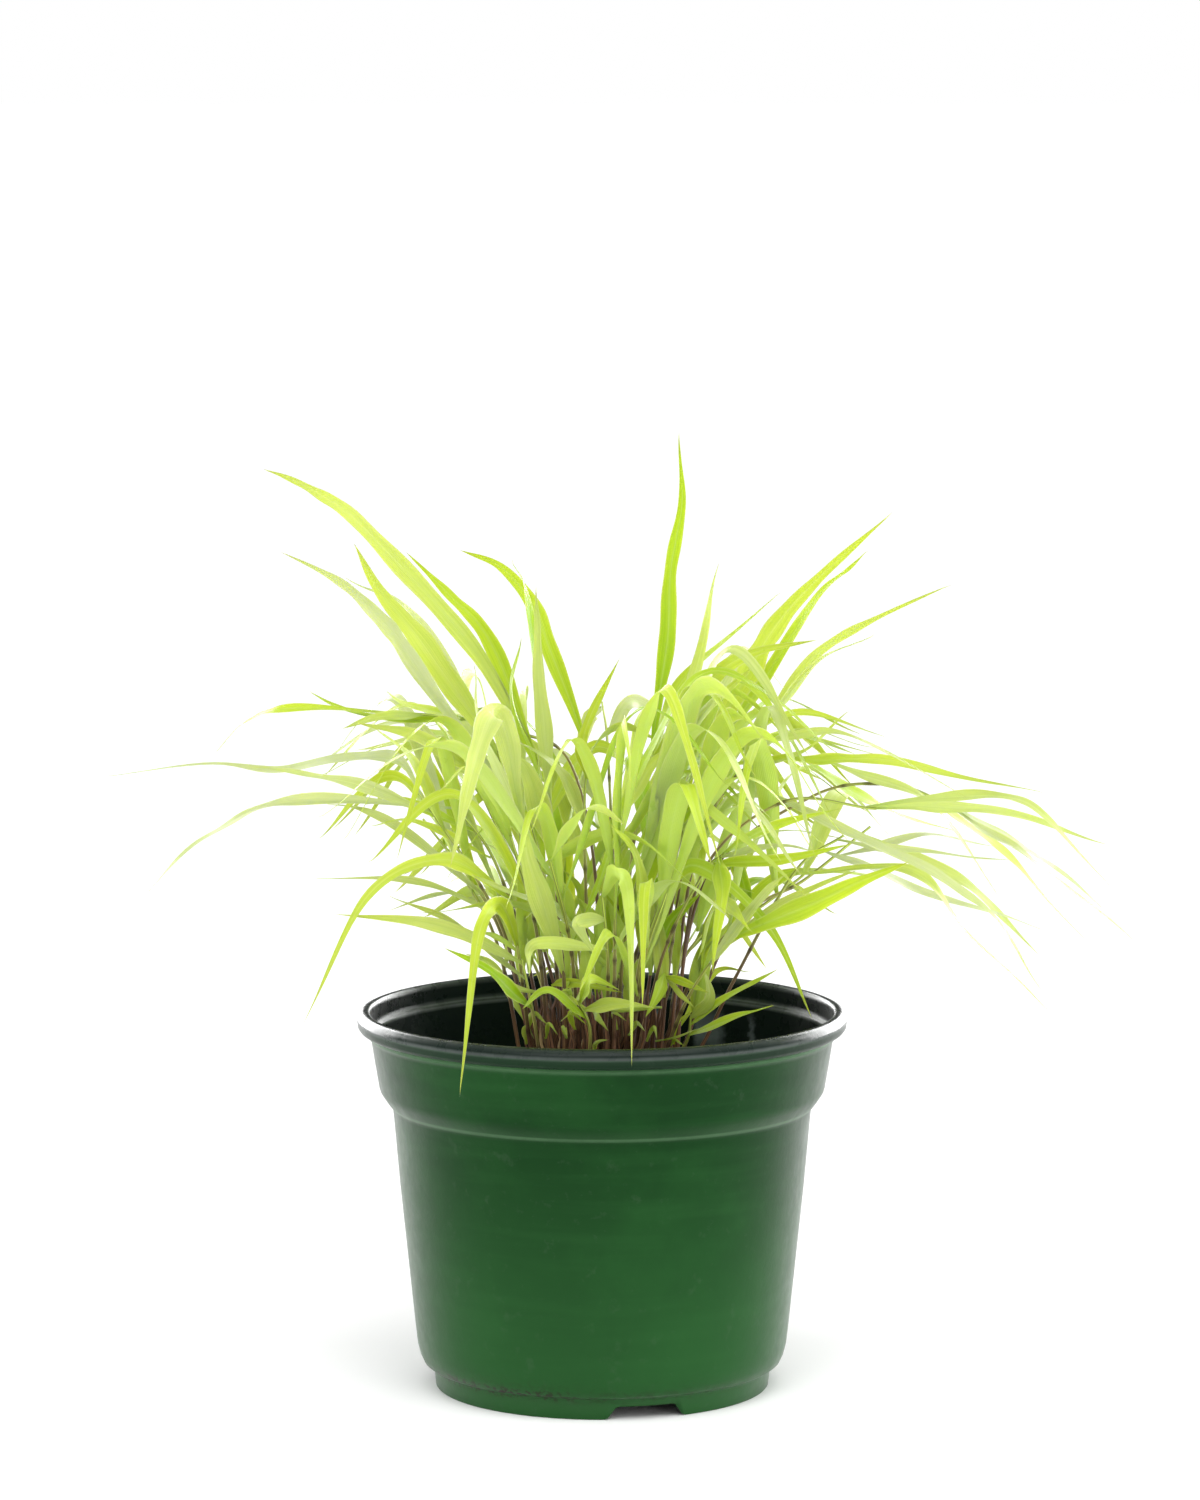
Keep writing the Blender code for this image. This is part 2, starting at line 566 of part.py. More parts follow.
class Space:
    """What already stands in the plant, to keep each new piece clear of it.

    A stem's own blades meet at the culm, so between them only the faces past each blade's first step count.
    """

    def __init__(self):
        self.kept = []

    def keep(self, owner, points, faces):
        low, high = box_of(points)
        whole = BVHTree.FromPolygons(points, faces)
        outer = BVHTree.FromPolygons(points, faces[ROOT_FACES:]) if owner_is_blade(faces) else None
        self.kept.append((owner, low, high, whole, outer))

    def free(self, owner, points, faces, with_own=True):
        low, high = box_of(points)
        whole = None
        outer = None
        for other, kept_low, kept_high, kept_whole, kept_outer in self.kept:
            if other == owner and (kept_outer is None or not with_own):
                continue
            if any(low[i] > kept_high[i] or high[i] < kept_low[i] for i in range(3)):
                continue
            if other == owner:
                outer = outer or BVHTree.FromPolygons(points, faces[ROOT_FACES:])
                if outer.overlap(kept_outer):
                    return False
                continue
            whole = whole or BVHTree.FromPolygons(points, faces)
            if whole.overlap(kept_whole):
                return False
        return True


def box_of(points):
    """The lowest and highest corner of a set of points."""
    low = Vector(min(p[i] for p in points) for i in range(3))
    high = Vector(max(p[i] for p in points) for i in range(3))
    return low, high


def owner_is_blade(faces):
    """A blade's faces are all triangles, and a culm's are not."""
    return all(len(face) == 3 for face in faces)


def crown_spots():
    """Places for the stems' feet, spread evenly over the crown."""
    turn = math.pi * (3 - math.sqrt(5))
    spots = []
    for count in range(CROWN_SPOTS):
        radius = CROWN_SPACING * math.sqrt(count + 0.4)
        spots.append((radius * math.cos(turn * count), radius * math.sin(turn * count)))
    return spots


def take_spot(spots, wanted):
    """Takes the free spot nearest to the wanted foot."""
    best = min(spots, key=lambda spot: math.dist(spot, wanted))
    spots.remove(best)
    return best


def culm_line(foot, knots):
    """The line of a culm: straight up through its hole, then along its bow."""
    low = Vector((foot[0], foot[1], HOLE_DEPTH_HEIGHT + 0.6))
    free = Vector((foot[0], foot[1], STRAIGHT_HEIGHT))
    return [low] + smooth_curve([free] + knots, CULM_STEPS, low)


def culm_radii(count, extra=0.0):
    """A culm's radius at each of its points, thinning towards the top."""
    fall = CULM_RADIUS - CULM_TIP_RADIUS
    return [CULM_RADIUS - fall * step / (count - 1) + extra for step in range(count)]


def try_culm(space, name, foot, places):
    """A traced culm, moved back or forward until it is clear of what stands already."""
    for nudge in NUDGES:
        knots = []
        for count, (x, z, depth) in enumerate(places):
            knots.append(set_back((x, z, depth + nudge * CULM_NUDGE * (count + 1) / len(places))))
        line = culm_line(foot, knots)
        if space.free(name, *tube(line, culm_radii(len(line), CLEARANCE), CULM_SIDES)):
            return line
    return None


def try_blade(space, name, culm, share, shown, places):
    """A traced blade, moved back or forward along the line of sight until it is clear.

    It rolls so that its upper side turns up and towards the eye, whichever way it grows.
    """
    base = along(culm, share)
    lean = -1.0 if places[-1][0] > places[0][0] else 1.0
    grown = YOUNG_WIDTH if shown < YOUNG_SHOWN else max(shown, GROWN_WIDTH)
    for slim, with_own in ((1.0, True), (SLIM_SHARE, True), (1.0, False)):
        width = min(grown, WIDEST_WIDTH) * slim
        roll = lean * math.acos(min(1.0, shown * slim / width))
        for nudge in NUDGES:
            knots = [base]
            for count, (x, z, depth) in enumerate(places):
                knots.append(set_back((x, z, depth + nudge * (count + 1) / len(places))))
            line = smooth_curve(knots, max(FEWEST_BLADE_STEPS, len(knots)))
            facing = Vector((0.0, 1.0, 0.0))
            twist = lean * TRACED_TWIST
            corners, faces = blade_mesh(line, facing, width, roll, twist, CLEARANCE)
            if space.free(name, corners, faces, with_own):
                return line, facing, width, roll, twist
    return None


def grow_traced(space, spots):
    """The stems of the table, each with its culm's line and its blades."""
    plants = []
    for name, (wanted, places, blades) in STEMS.items():
        foot = take_spot(spots, wanted)
        owner = "stem_" + name
        culm = try_culm(space, owner, foot, places)
        if culm is None:
            print("no room for", owner)
            continue
        space.keep(owner, *tube(culm, culm_radii(len(culm)), CULM_SIDES))
        grown = []
        for share, shown, turns in blades:
            blade = try_blade(space, owner, culm, share, shown, turns)
            if blade is None:
                print("no room for a blade of", owner)
                continue
            space.keep(owner, *blade_mesh(*blade))
            grown.append(blade)
        plants.append((owner, foot, culm, grown))
    return plants


def inside_crown(line):
    """Whether a line stays within the outline that the plant shows, and above the pot's lip in front."""
    for point in line:
        x, z = seen_at(point)
        if abs(point.y) > REACH_DEPTH or abs(x) > REACH_SIDE:
            return False
        if z > min(CROWN_MIDDLE + CROWN_RISE * abs(x), CROWN_TOP - CROWN_FALL * x * x):
            return False
        floor = BACK_FLOOR if point.y > BACK_DEPTH else FRONT_FLOOR
        low = floor + FLOOR_RISE * max(0.0, abs(x) - CORE_SIDE)
        if z < low and math.hypot(point.x, point.y) > POT_MOUTH:
            return False
    return True


def random_culm(draw, foot, heading):
    """A culm that leaves the crown on a heading and bows outward."""
    reach = draw.uniform(*CULM_REACH)
    height = draw.uniform(*CULM_HEIGHT) - CULM_BOW * reach
    way = Vector((math.cos(heading), math.sin(heading), 0.0))
    start = Vector((foot[0], foot[1], 0.0))
    middle = start + way * reach * CULM_BOW + Vector((0, 0, STRAIGHT_HEIGHT + (height - STRAIGHT_HEIGHT) * 0.6))
    top = start + way * reach + Vector((0, 0, height))
    return culm_line(foot, [middle, top])


def random_blade(draw, culm, share, heading):
    """An arching blade: it climbs from the culm, bends over and droops to its tip."""
    base = along(culm, share)
    length = draw.uniform(*BLADE_LENGTH)
    climb = draw.uniform(*BLADE_CLIMB)
    droop = draw.uniform(*BLADE_DROOP)
    way = Vector((math.cos(heading), math.sin(heading), 0.0))
    peak = base + way * length * BLADE_PEAK + Vector((0, 0, length * climb))
    tip = base + way * length * BLADE_REACH + Vector((0, 0, length * (climb - droop)))
    line = smooth_curve([base, peak, tip], FEWEST_BLADE_STEPS)
    width = draw.uniform(*BLADE_WIDTH)
    roll = draw.uniform(-BLADE_ROLL, BLADE_ROLL)
    return line, Vector((0.0, 0.0, 1.0)), width, roll, draw.uniform(-BLADE_TWIST, BLADE_TWIST)


def grow_tiller(space, draw, name, foot, heading):
    """One stem of the middle, sides or back, or nothing where it finds too little room."""
    culm = None
    for attempt in range(TILLER_TRIES):
        trial = random_culm(draw, foot, heading + draw.uniform(-HEADING_SPREAD, HEADING_SPREAD))
        if inside_crown(trial) and space.free(name, *tube(trial, culm_radii(len(trial), CLEARANCE), CULM_SIDES)):
            culm = trial
            break
    if culm is None:
        return None
    grown = []
    for count in range(len(BLADE_TURNS)):
        share = FIRST_BLADE_SHARE - BLADE_SHARE_STEP * count
        for attempt in range(BLADE_TRIES):
            side = heading + BLADE_TURNS[count] + draw.uniform(-BLADE_TURN_SPREAD, BLADE_TURN_SPREAD)
            blade = random_blade(draw, culm, share, side)
            if inside_crown(blade[0]) and space.free(name, *blade_mesh(*blade, CLEARANCE)):
                grown.append(blade)
                space.keep(name, *blade_mesh(*blade))
                break
    if len(grown) < 2:
        return None
    space.keep(name, *tube(culm, culm_radii(len(culm)), CULM_SIDES))
    return name, foot, culm, grown


def grow_tillers(space, spots):
    """The stems placed by rule: their headings fan round the crown, most of them to the back."""
    draw = random.Random(SEED)
    plants = []
    for count in range(TILLER_COUNT):
        turn = (count * GOLDEN_SHARE) % 1.0
        heading = math.radians(BACK_FAN[0] + BACK_FAN[1] * turn)
        if count % FRONT_EVERY == 0:
            heading = math.radians(FRONT_FAN[0] + FRONT_FAN[1] * turn)
        wanted = (FEET_CIRCLE * math.cos(heading), FEET_CIRCLE * math.sin(heading))
        foot = take_spot(spots, wanted)
        plant = grow_tiller(space, draw, f"tiller_{count + 1:02d}", foot, heading)
        if plant is None:
            print("no room for tiller", count + 1)
            continue
        plants.append(plant)
    return plants


def build_stem(name, culm, blades, material):
    """A culm and its blades, fused into one solid."""
    points, faces = tube(culm, culm_radii(len(culm)), CULM_SIDES)
    stem = make_object(name, points, faces, material)
    pieces = []
    for count, blade in enumerate(blades):
        pieces.append(make_object(f"{name}_blade_{count}", *blade_mesh(*blade), material))
    join(stem, pieces, "UNION")
    shade(stem, 30)


def build():
    """The whole object."""
    clear_scene()
    green = make_material("pot_green", (0.03, 0.11, 0.035), 0.42)
    soil = make_material("potting_mix", (0.045, 0.03, 0.02), 0.95)
    pot = build_pot(green)
    space = Space()
    space.keep(pot.name, *turned(wall_profile(), True))
    spots = crown_spots()
    plants = grow_traced(space, spots)
    plants += grow_tillers(space, spots)
    build_mix([foot for name, foot, culm, blades in plants], soil)
    for count, (name, foot, culm, blades) in enumerate(plants):
        tint = 0.9 + 0.2 * ((count * 0.37) % 1.0)
        leaf = make_material(name, (0.42 * tint, 0.66 * tint, 0.08), 0.5)
        build_stem(name, culm, blades, leaf)


build()
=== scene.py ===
import json
import math
import random

import bmesh
import bpy
from mathutils import Matrix, Vector, noise
from mathutils.bvhtree import BVHTree

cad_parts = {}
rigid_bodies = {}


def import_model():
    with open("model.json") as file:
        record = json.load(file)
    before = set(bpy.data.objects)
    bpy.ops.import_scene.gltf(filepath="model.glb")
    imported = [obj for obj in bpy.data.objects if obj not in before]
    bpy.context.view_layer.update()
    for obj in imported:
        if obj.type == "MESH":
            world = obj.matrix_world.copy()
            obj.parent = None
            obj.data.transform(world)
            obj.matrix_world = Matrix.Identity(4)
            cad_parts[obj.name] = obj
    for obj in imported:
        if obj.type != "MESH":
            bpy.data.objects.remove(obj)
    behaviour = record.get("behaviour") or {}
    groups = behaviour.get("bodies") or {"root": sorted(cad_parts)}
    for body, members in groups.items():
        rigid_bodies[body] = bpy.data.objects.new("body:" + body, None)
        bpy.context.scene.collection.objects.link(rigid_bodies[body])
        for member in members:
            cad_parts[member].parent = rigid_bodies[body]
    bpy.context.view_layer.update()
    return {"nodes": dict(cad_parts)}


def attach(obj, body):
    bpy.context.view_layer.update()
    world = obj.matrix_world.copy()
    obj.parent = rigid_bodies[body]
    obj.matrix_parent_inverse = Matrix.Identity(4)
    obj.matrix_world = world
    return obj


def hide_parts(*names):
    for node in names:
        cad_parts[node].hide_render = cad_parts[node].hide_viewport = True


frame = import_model()
scene = bpy.context.scene
mm = 0.001  # the growth rule and the pot's profile are in millimetres
print("frame loaded:", len(frame["nodes"]), "nodes")


# Small helpers

def feed(tree, socket, value):  # links a socket or a node's first output, and sets any other value
    if isinstance(value, bpy.types.Node):
        value = value.outputs[0]
    if isinstance(value, bpy.types.NodeSocket):
        tree.links.new(value, socket)
    elif socket.type == "RGBA":
        socket.default_value = (*value, 1.0)
    else:
        socket.default_value = value


def feedAll(tree, node, inputs):
    for name, value in inputs.items():
        feed(tree, node.inputs[name], value)


def addNode(tree, kind, inputs=None, **settings):
    place = len(tree.nodes)
    node = tree.nodes.new(kind)
    node.location = (220 * (place % 8), -280 * (place // 8))  # rows of eight, in reading order
    for key, value in settings.items():
        setattr(node, key, value)
    feedAll(tree, node, inputs or {})
    return node


socketKinds = {float: "Float", int: "Int", tuple: "Vector"}


def newTree(name, kind, takes, gives):  # a word names a socket's kind, and any other value is its default
    tree = bpy.data.node_groups.new(name, kind)
    for direction, sockets in (("INPUT", takes), ("OUTPUT", gives)):
        for label, value in sockets.items():
            kindName = "NodeSocket" + (value if isinstance(value, str) else socketKinds[type(value)])
            socket = tree.interface.new_socket(name=label, in_out=direction, socket_type=kindName)
            if not isinstance(value, str):
                socket.default_value = value
    return tree, addNode(tree, "NodeGroupInput").outputs


def mathNode(tree, operation, *values):
    return addNode(tree, "ShaderNodeMath", dict(enumerate(values)), operation=operation).outputs[0]


def times(tree, first, second):
    return mathNode(tree, "MULTIPLY", first, second)


def mixColour(tree, factor, first, second, blend="MIX"):
    inputs = {0: factor, 6: first, 7: second}
    return addNode(tree, "ShaderNodeMix", inputs, data_type="RGBA", blend_type=blend).outputs[2]


def ramp(tree, value, *stops):
    node = addNode(tree, "ShaderNodeValToRGB", {"Fac": value})
    while len(node.color_ramp.elements) < len(stops):
        node.color_ramp.elements.new(0.5)
    for element, (place, colour) in zip(node.color_ramp.elements, stops):
        element.position = place
        element.color = (*colour, 1.0) if isinstance(colour, tuple) else (colour, colour, colour, 1.0)
    return node.outputs["Color"]


def attribute(tree, name):
    return addNode(tree, "ShaderNodeAttribute", attribute_name=name).outputs["Fac"]


def bump(tree, height, distance, strength=1.0):
    return addNode(tree, "ShaderNodeBump", {"Height": height, "Distance": distance, "Strength": strength})


def newMaterial(name):
    material = bpy.data.materials.new(name)
    material.use_nodes = True
    return material, material.node_tree, material.node_tree.nodes["Principled BSDF"]


def linkObject(name, data):
    piece = bpy.data.objects.new(name, data)
    scene.collection.objects.link(piece)
    return piece


def meshObject(name, mesh, *materials):  # the finished bmesh becomes an object
    data = bpy.data.meshes.new(name)
    mesh.to_mesh(data)
    mesh.free()
    for material in materials:
        data.materials.append(material)
    return linkObject(name, data)


def setModifier(modifier, **values):  # inputs by the name of the tree's socket, without its spaces
    for item in modifier.node_group.interface.items_tree:
        if item.item_type == "SOCKET" and item.in_out == "INPUT" and item.name.replace(" ", "") in values:
            modifier[item.identifier] = values[item.name.replace(" ", "")]


def bakeModifiers(piece):  # the evaluated mesh replaces the base mesh, and the modifiers go
    depsgraph = bpy.context.evaluated_depsgraph_get()
    mesh = bpy.data.meshes.new_from_object(piece.evaluated_get(depsgraph), depsgraph=depsgraph)
    piece.modifiers.clear()
    piece.data = mesh


# The view: the photograph's eye and a pale floor

viewSettings = {
    "eye": (-0.0007, -1.985, 0.4596), "pitchDown": 7.0, "lens": 143.3, "sensor": 36.0, "farthest": 200.0,
    "floorHalf": 30.0, "floorColour": (0.97, 0.97, 0.97), "floorRoughness": 0.9, "floorShine": 0.1,
}


def makeView(s):
    camera = bpy.data.cameras.new("camera")
    camera.lens = s["lens"]
    camera.sensor_width = s["sensor"]
    camera.sensor_fit = "AUTO"
    camera.clip_end = s["farthest"]
    eye = linkObject("camera", camera)
    eye.location = s["eye"]
    eye.rotation_euler = (math.radians(90.0 - s["pitchDown"]), 0.0, 0.0)
    scene.camera = eye
    half = s["floorHalf"]
    material, tree, shader = newMaterial("floorPale")
    feedAll(tree, shader, {"Base Color": s["floorColour"], "Roughness": s["floorRoughness"],
                           "Specular IOR Level": s["floorShine"]})
    mesh = bmesh.new()
    corners = ((-half, -half, 0.0), (half, -half, 0.0), (half, half, 0.0), (-half, half, 0.0))
    mesh.faces.new([mesh.verts.new(corner) for corner in corners])
    floor = meshObject("floor", mesh, material)


# Soft studio light: a white sky, a wide overhead light and six lamps

lightSettings = {
    "skyLight": 0.80, "skyShine": 0.10,
    "overhead": 1.20, "overheadSpread": 40.0, "overheadTurn": (28.0, 14.0, 0.0),
}
lamps = {  # where a lamp stands, where it aims, its size, its power, and the rays that pass it by
    "frontFill": ((-0.7, -1.5, 1.6), (0.0, 0.0, 0.18), (1.0, 1.0), 10.0, ()),
    # the cards are only mirrored in the plastic, as white walls are
    "leftCard": ((-1.05, 1.45, 0.5), (0.0, 0.0, 0.1), (1.5, 1.3), 75.0, ("diffuse", "transmission")),
    "rightCard": ((1.15, 1.35, 0.5), (0.0, 0.0, 0.1), (1.7, 1.3), 100.0, ("diffuse", "transmission")),
    "leftSide": ((-1.0, -0.15, 0.15), (0.0, 0.0, 0.05), (0.5, 0.4), 5.0, ("glossy",)),
    "rightSide": ((1.0, -0.15, 0.12), (0.0, 0.0, 0.04), (0.5, 0.4), 6.0, ("glossy",)),
    "lowRight": ((1.0, -1.2, 0.25), (0.0, 0.0, 0.03), (0.7, 0.5), 4.0, ("glossy",)),
}


def makeLamp(name, place, aim, size, power, passedBy):
    lamp = bpy.data.lights.new(name, "AREA")
    lamp.shape = "RECTANGLE"
    lamp.size, lamp.size_y = size
    lamp.energy = power
    light = linkObject(name, lamp)
    light.location = place
    light.rotation_euler = (Vector(aim) - Vector(place)).to_track_quat("-Z", "Y").to_euler()
    for ray in ("camera", *passedBy):
        setattr(light, "visible_" + ray, False)


def makeLight(s):
    world = bpy.data.worlds.new("studio")
    scene.world = world
    world.use_nodes = True
    tree = world.node_tree
    ray = addNode(tree, "ShaderNodeLightPath").outputs
    drop = s["skyShine"] - s["skyLight"]
    unseen = mathNode(tree, "MULTIPLY_ADD", ray["Is Glossy Ray"], drop, s["skyLight"])
    strength = mathNode(tree, "MAXIMUM", ray["Is Camera Ray"], unseen)
    feedAll(tree, tree.nodes["Background"], {"Color": (1.0, 1.0, 1.0), "Strength": strength})
    sun = bpy.data.lights.new("overhead", "SUN")
    sun.energy = s["overhead"]
    sun.angle = math.radians(s["overheadSpread"])
    linkObject("overhead", sun).rotation_euler = [math.radians(turn) for turn in s["overheadTurn"]]
    for name, lamp in lamps.items():
        makeLamp(name, *lamp)
    scene.view_settings.view_transform = "Standard"


makeView(viewSettings)
makeLight(lightSettings)
print("view and light set")


# Shader groups that several materials share

def makeFibreGroup():
    takes = {"Across": 0.5, "Along": 0.5, "Lines": 14.0, "Offset": 0.0}
    tree, given = newTree("fibreLines", "ShaderNodeTree", takes, {"Ridge": "Float", "Streak": "Float"})
    turns = times(tree, times(tree, given["Across"], given["Lines"]), math.tau)
    ridge = mathNode(tree, "MULTIPLY_ADD", mathNode(tree, "SINE", turns), 0.5, 0.5)
    place = addNode(tree, "ShaderNodeCombineXYZ", {
        0: times(tree, given["Across"], times(tree, given["Lines"], 0.9)),
        1: times(tree, given["Along"], 2.5),
        2: times(tree, given["Offset"], 40.0),
    })
    streak = addNode(tree, "ShaderNodeTexNoise", {"Vector": place, "Scale": 1.0, "Detail": 3.0})
    addNode(tree, "NodeGroupOutput", {"Ridge": ridge, "Streak": streak.outputs["Fac"]})
    return tree


def makeSpotGroup():
    takes = {"Scale": 60.0, "Level": 0.6, "Softness": 0.1}
    tree, given = newTree("surfaceSpots", "ShaderNodeTree", takes, {"Mask": "Float", "Cloud": "Float"})
    place = addNode(tree, "ShaderNodeTexCoord").outputs["Object"]
    inputs = {"Vector": place, "Scale": given["Scale"], "Detail": 5.0, "Roughness": 0.6}
    cloud = addNode(tree, "ShaderNodeTexNoise", inputs).outputs["Fac"]
    top = mathNode(tree, "ADD", given["Level"], given["Softness"])
    inputs = {"Value": cloud, "From Min": given["Level"], "From Max": top}
    mask = addNode(tree, "ShaderNodeMapRange", inputs, interpolation_type="SMOOTHSTEP")
    addNode(tree, "NodeGroupOutput", {"Mask": mask.outputs["Result"], "Cloud": cloud})
    return tree


fibreLines = makeFibreGroup()
surfaceSpots = makeSpotGroup()


def useGroup(tree, group, **inputs):
    return addNode(tree, "ShaderNodeGroup", inputs, node_tree=group).outputs


# Grass: how the stems and blades grow. The first part repeats the places and the rule of the solid stems.

growth = {
    "culmRadius": 0.95, "culmTipRadius": 0.5, "culmSides": 3, "culmSteps": 5, "culmStart": 0.6,
    "culmNudge": 0.6, "straightHeight": 104.0, "holeFloor": 89.0, "fewestSteps": 4, "rootWidth": 0.9,
    "rootShare": 0.1, "spread": 3.3, "taper": 1.8, "tracedTwist": 0.35, "thickness": 0.7, "tipThickness": 0.6,
    "youngLimit": 2.7, "youngWidth": 4.5, "grownWidth": 6.0, "widestWidth": 10.5, "slim": 0.75,
    "clearance": 0.7, "crownSpots": 66, "crownSpacing": 3.75, "spotStart": 0.4, "rootFaces": 10,
    "nudges": (0, 6, -6, 12, -12, 18, -18, 25, -25, 33, -33),
    "tillers": 28, "blades": 6, "fewestBlades": 2, "firstShare": 0.99, "shareStep": 0.1, "tries": 60,
    "seed": 27, "goldenShare": 0.618, "backFan": (-25.0, 230.0), "frontFan": (-130.0, 80.0), "frontEvery": 4,
    "feetCircle": 24.0, "headingSpread": 0.4, "bladeTurn": 0.5, "turnSpread": 0.7,
    "culmReach": (14.0, 52.0), "culmHeight": (142.0, 208.0), "culmBow": 0.35, "bowHeight": 0.6,
    "bladeLength": (58.0, 112.0), "bladeClimb": (0.15, 0.95), "bladeDroop": (0.0, 0.6), "bladePeak": 0.42,
    "bladeReach": 0.92, "bladeWidth": (5.5, 9.5), "bladeRoll": 0.9, "bladeTwist": 0.7,
    "reachDepth": 142.0, "reachSide": 98.0, "crownMiddle": 220.0, "crownRise": 0.8, "crownTop": 262.0,
    "crownFall": 0.005, "coreSide": 25.0, "frontFloor": 128.0, "backFloor": 116.0, "backDepth": 40.0,
    "floorRise": 0.8, "potMouth": 30.0, "eye": Vector((-0.7, -1985.0, 459.6)),
}

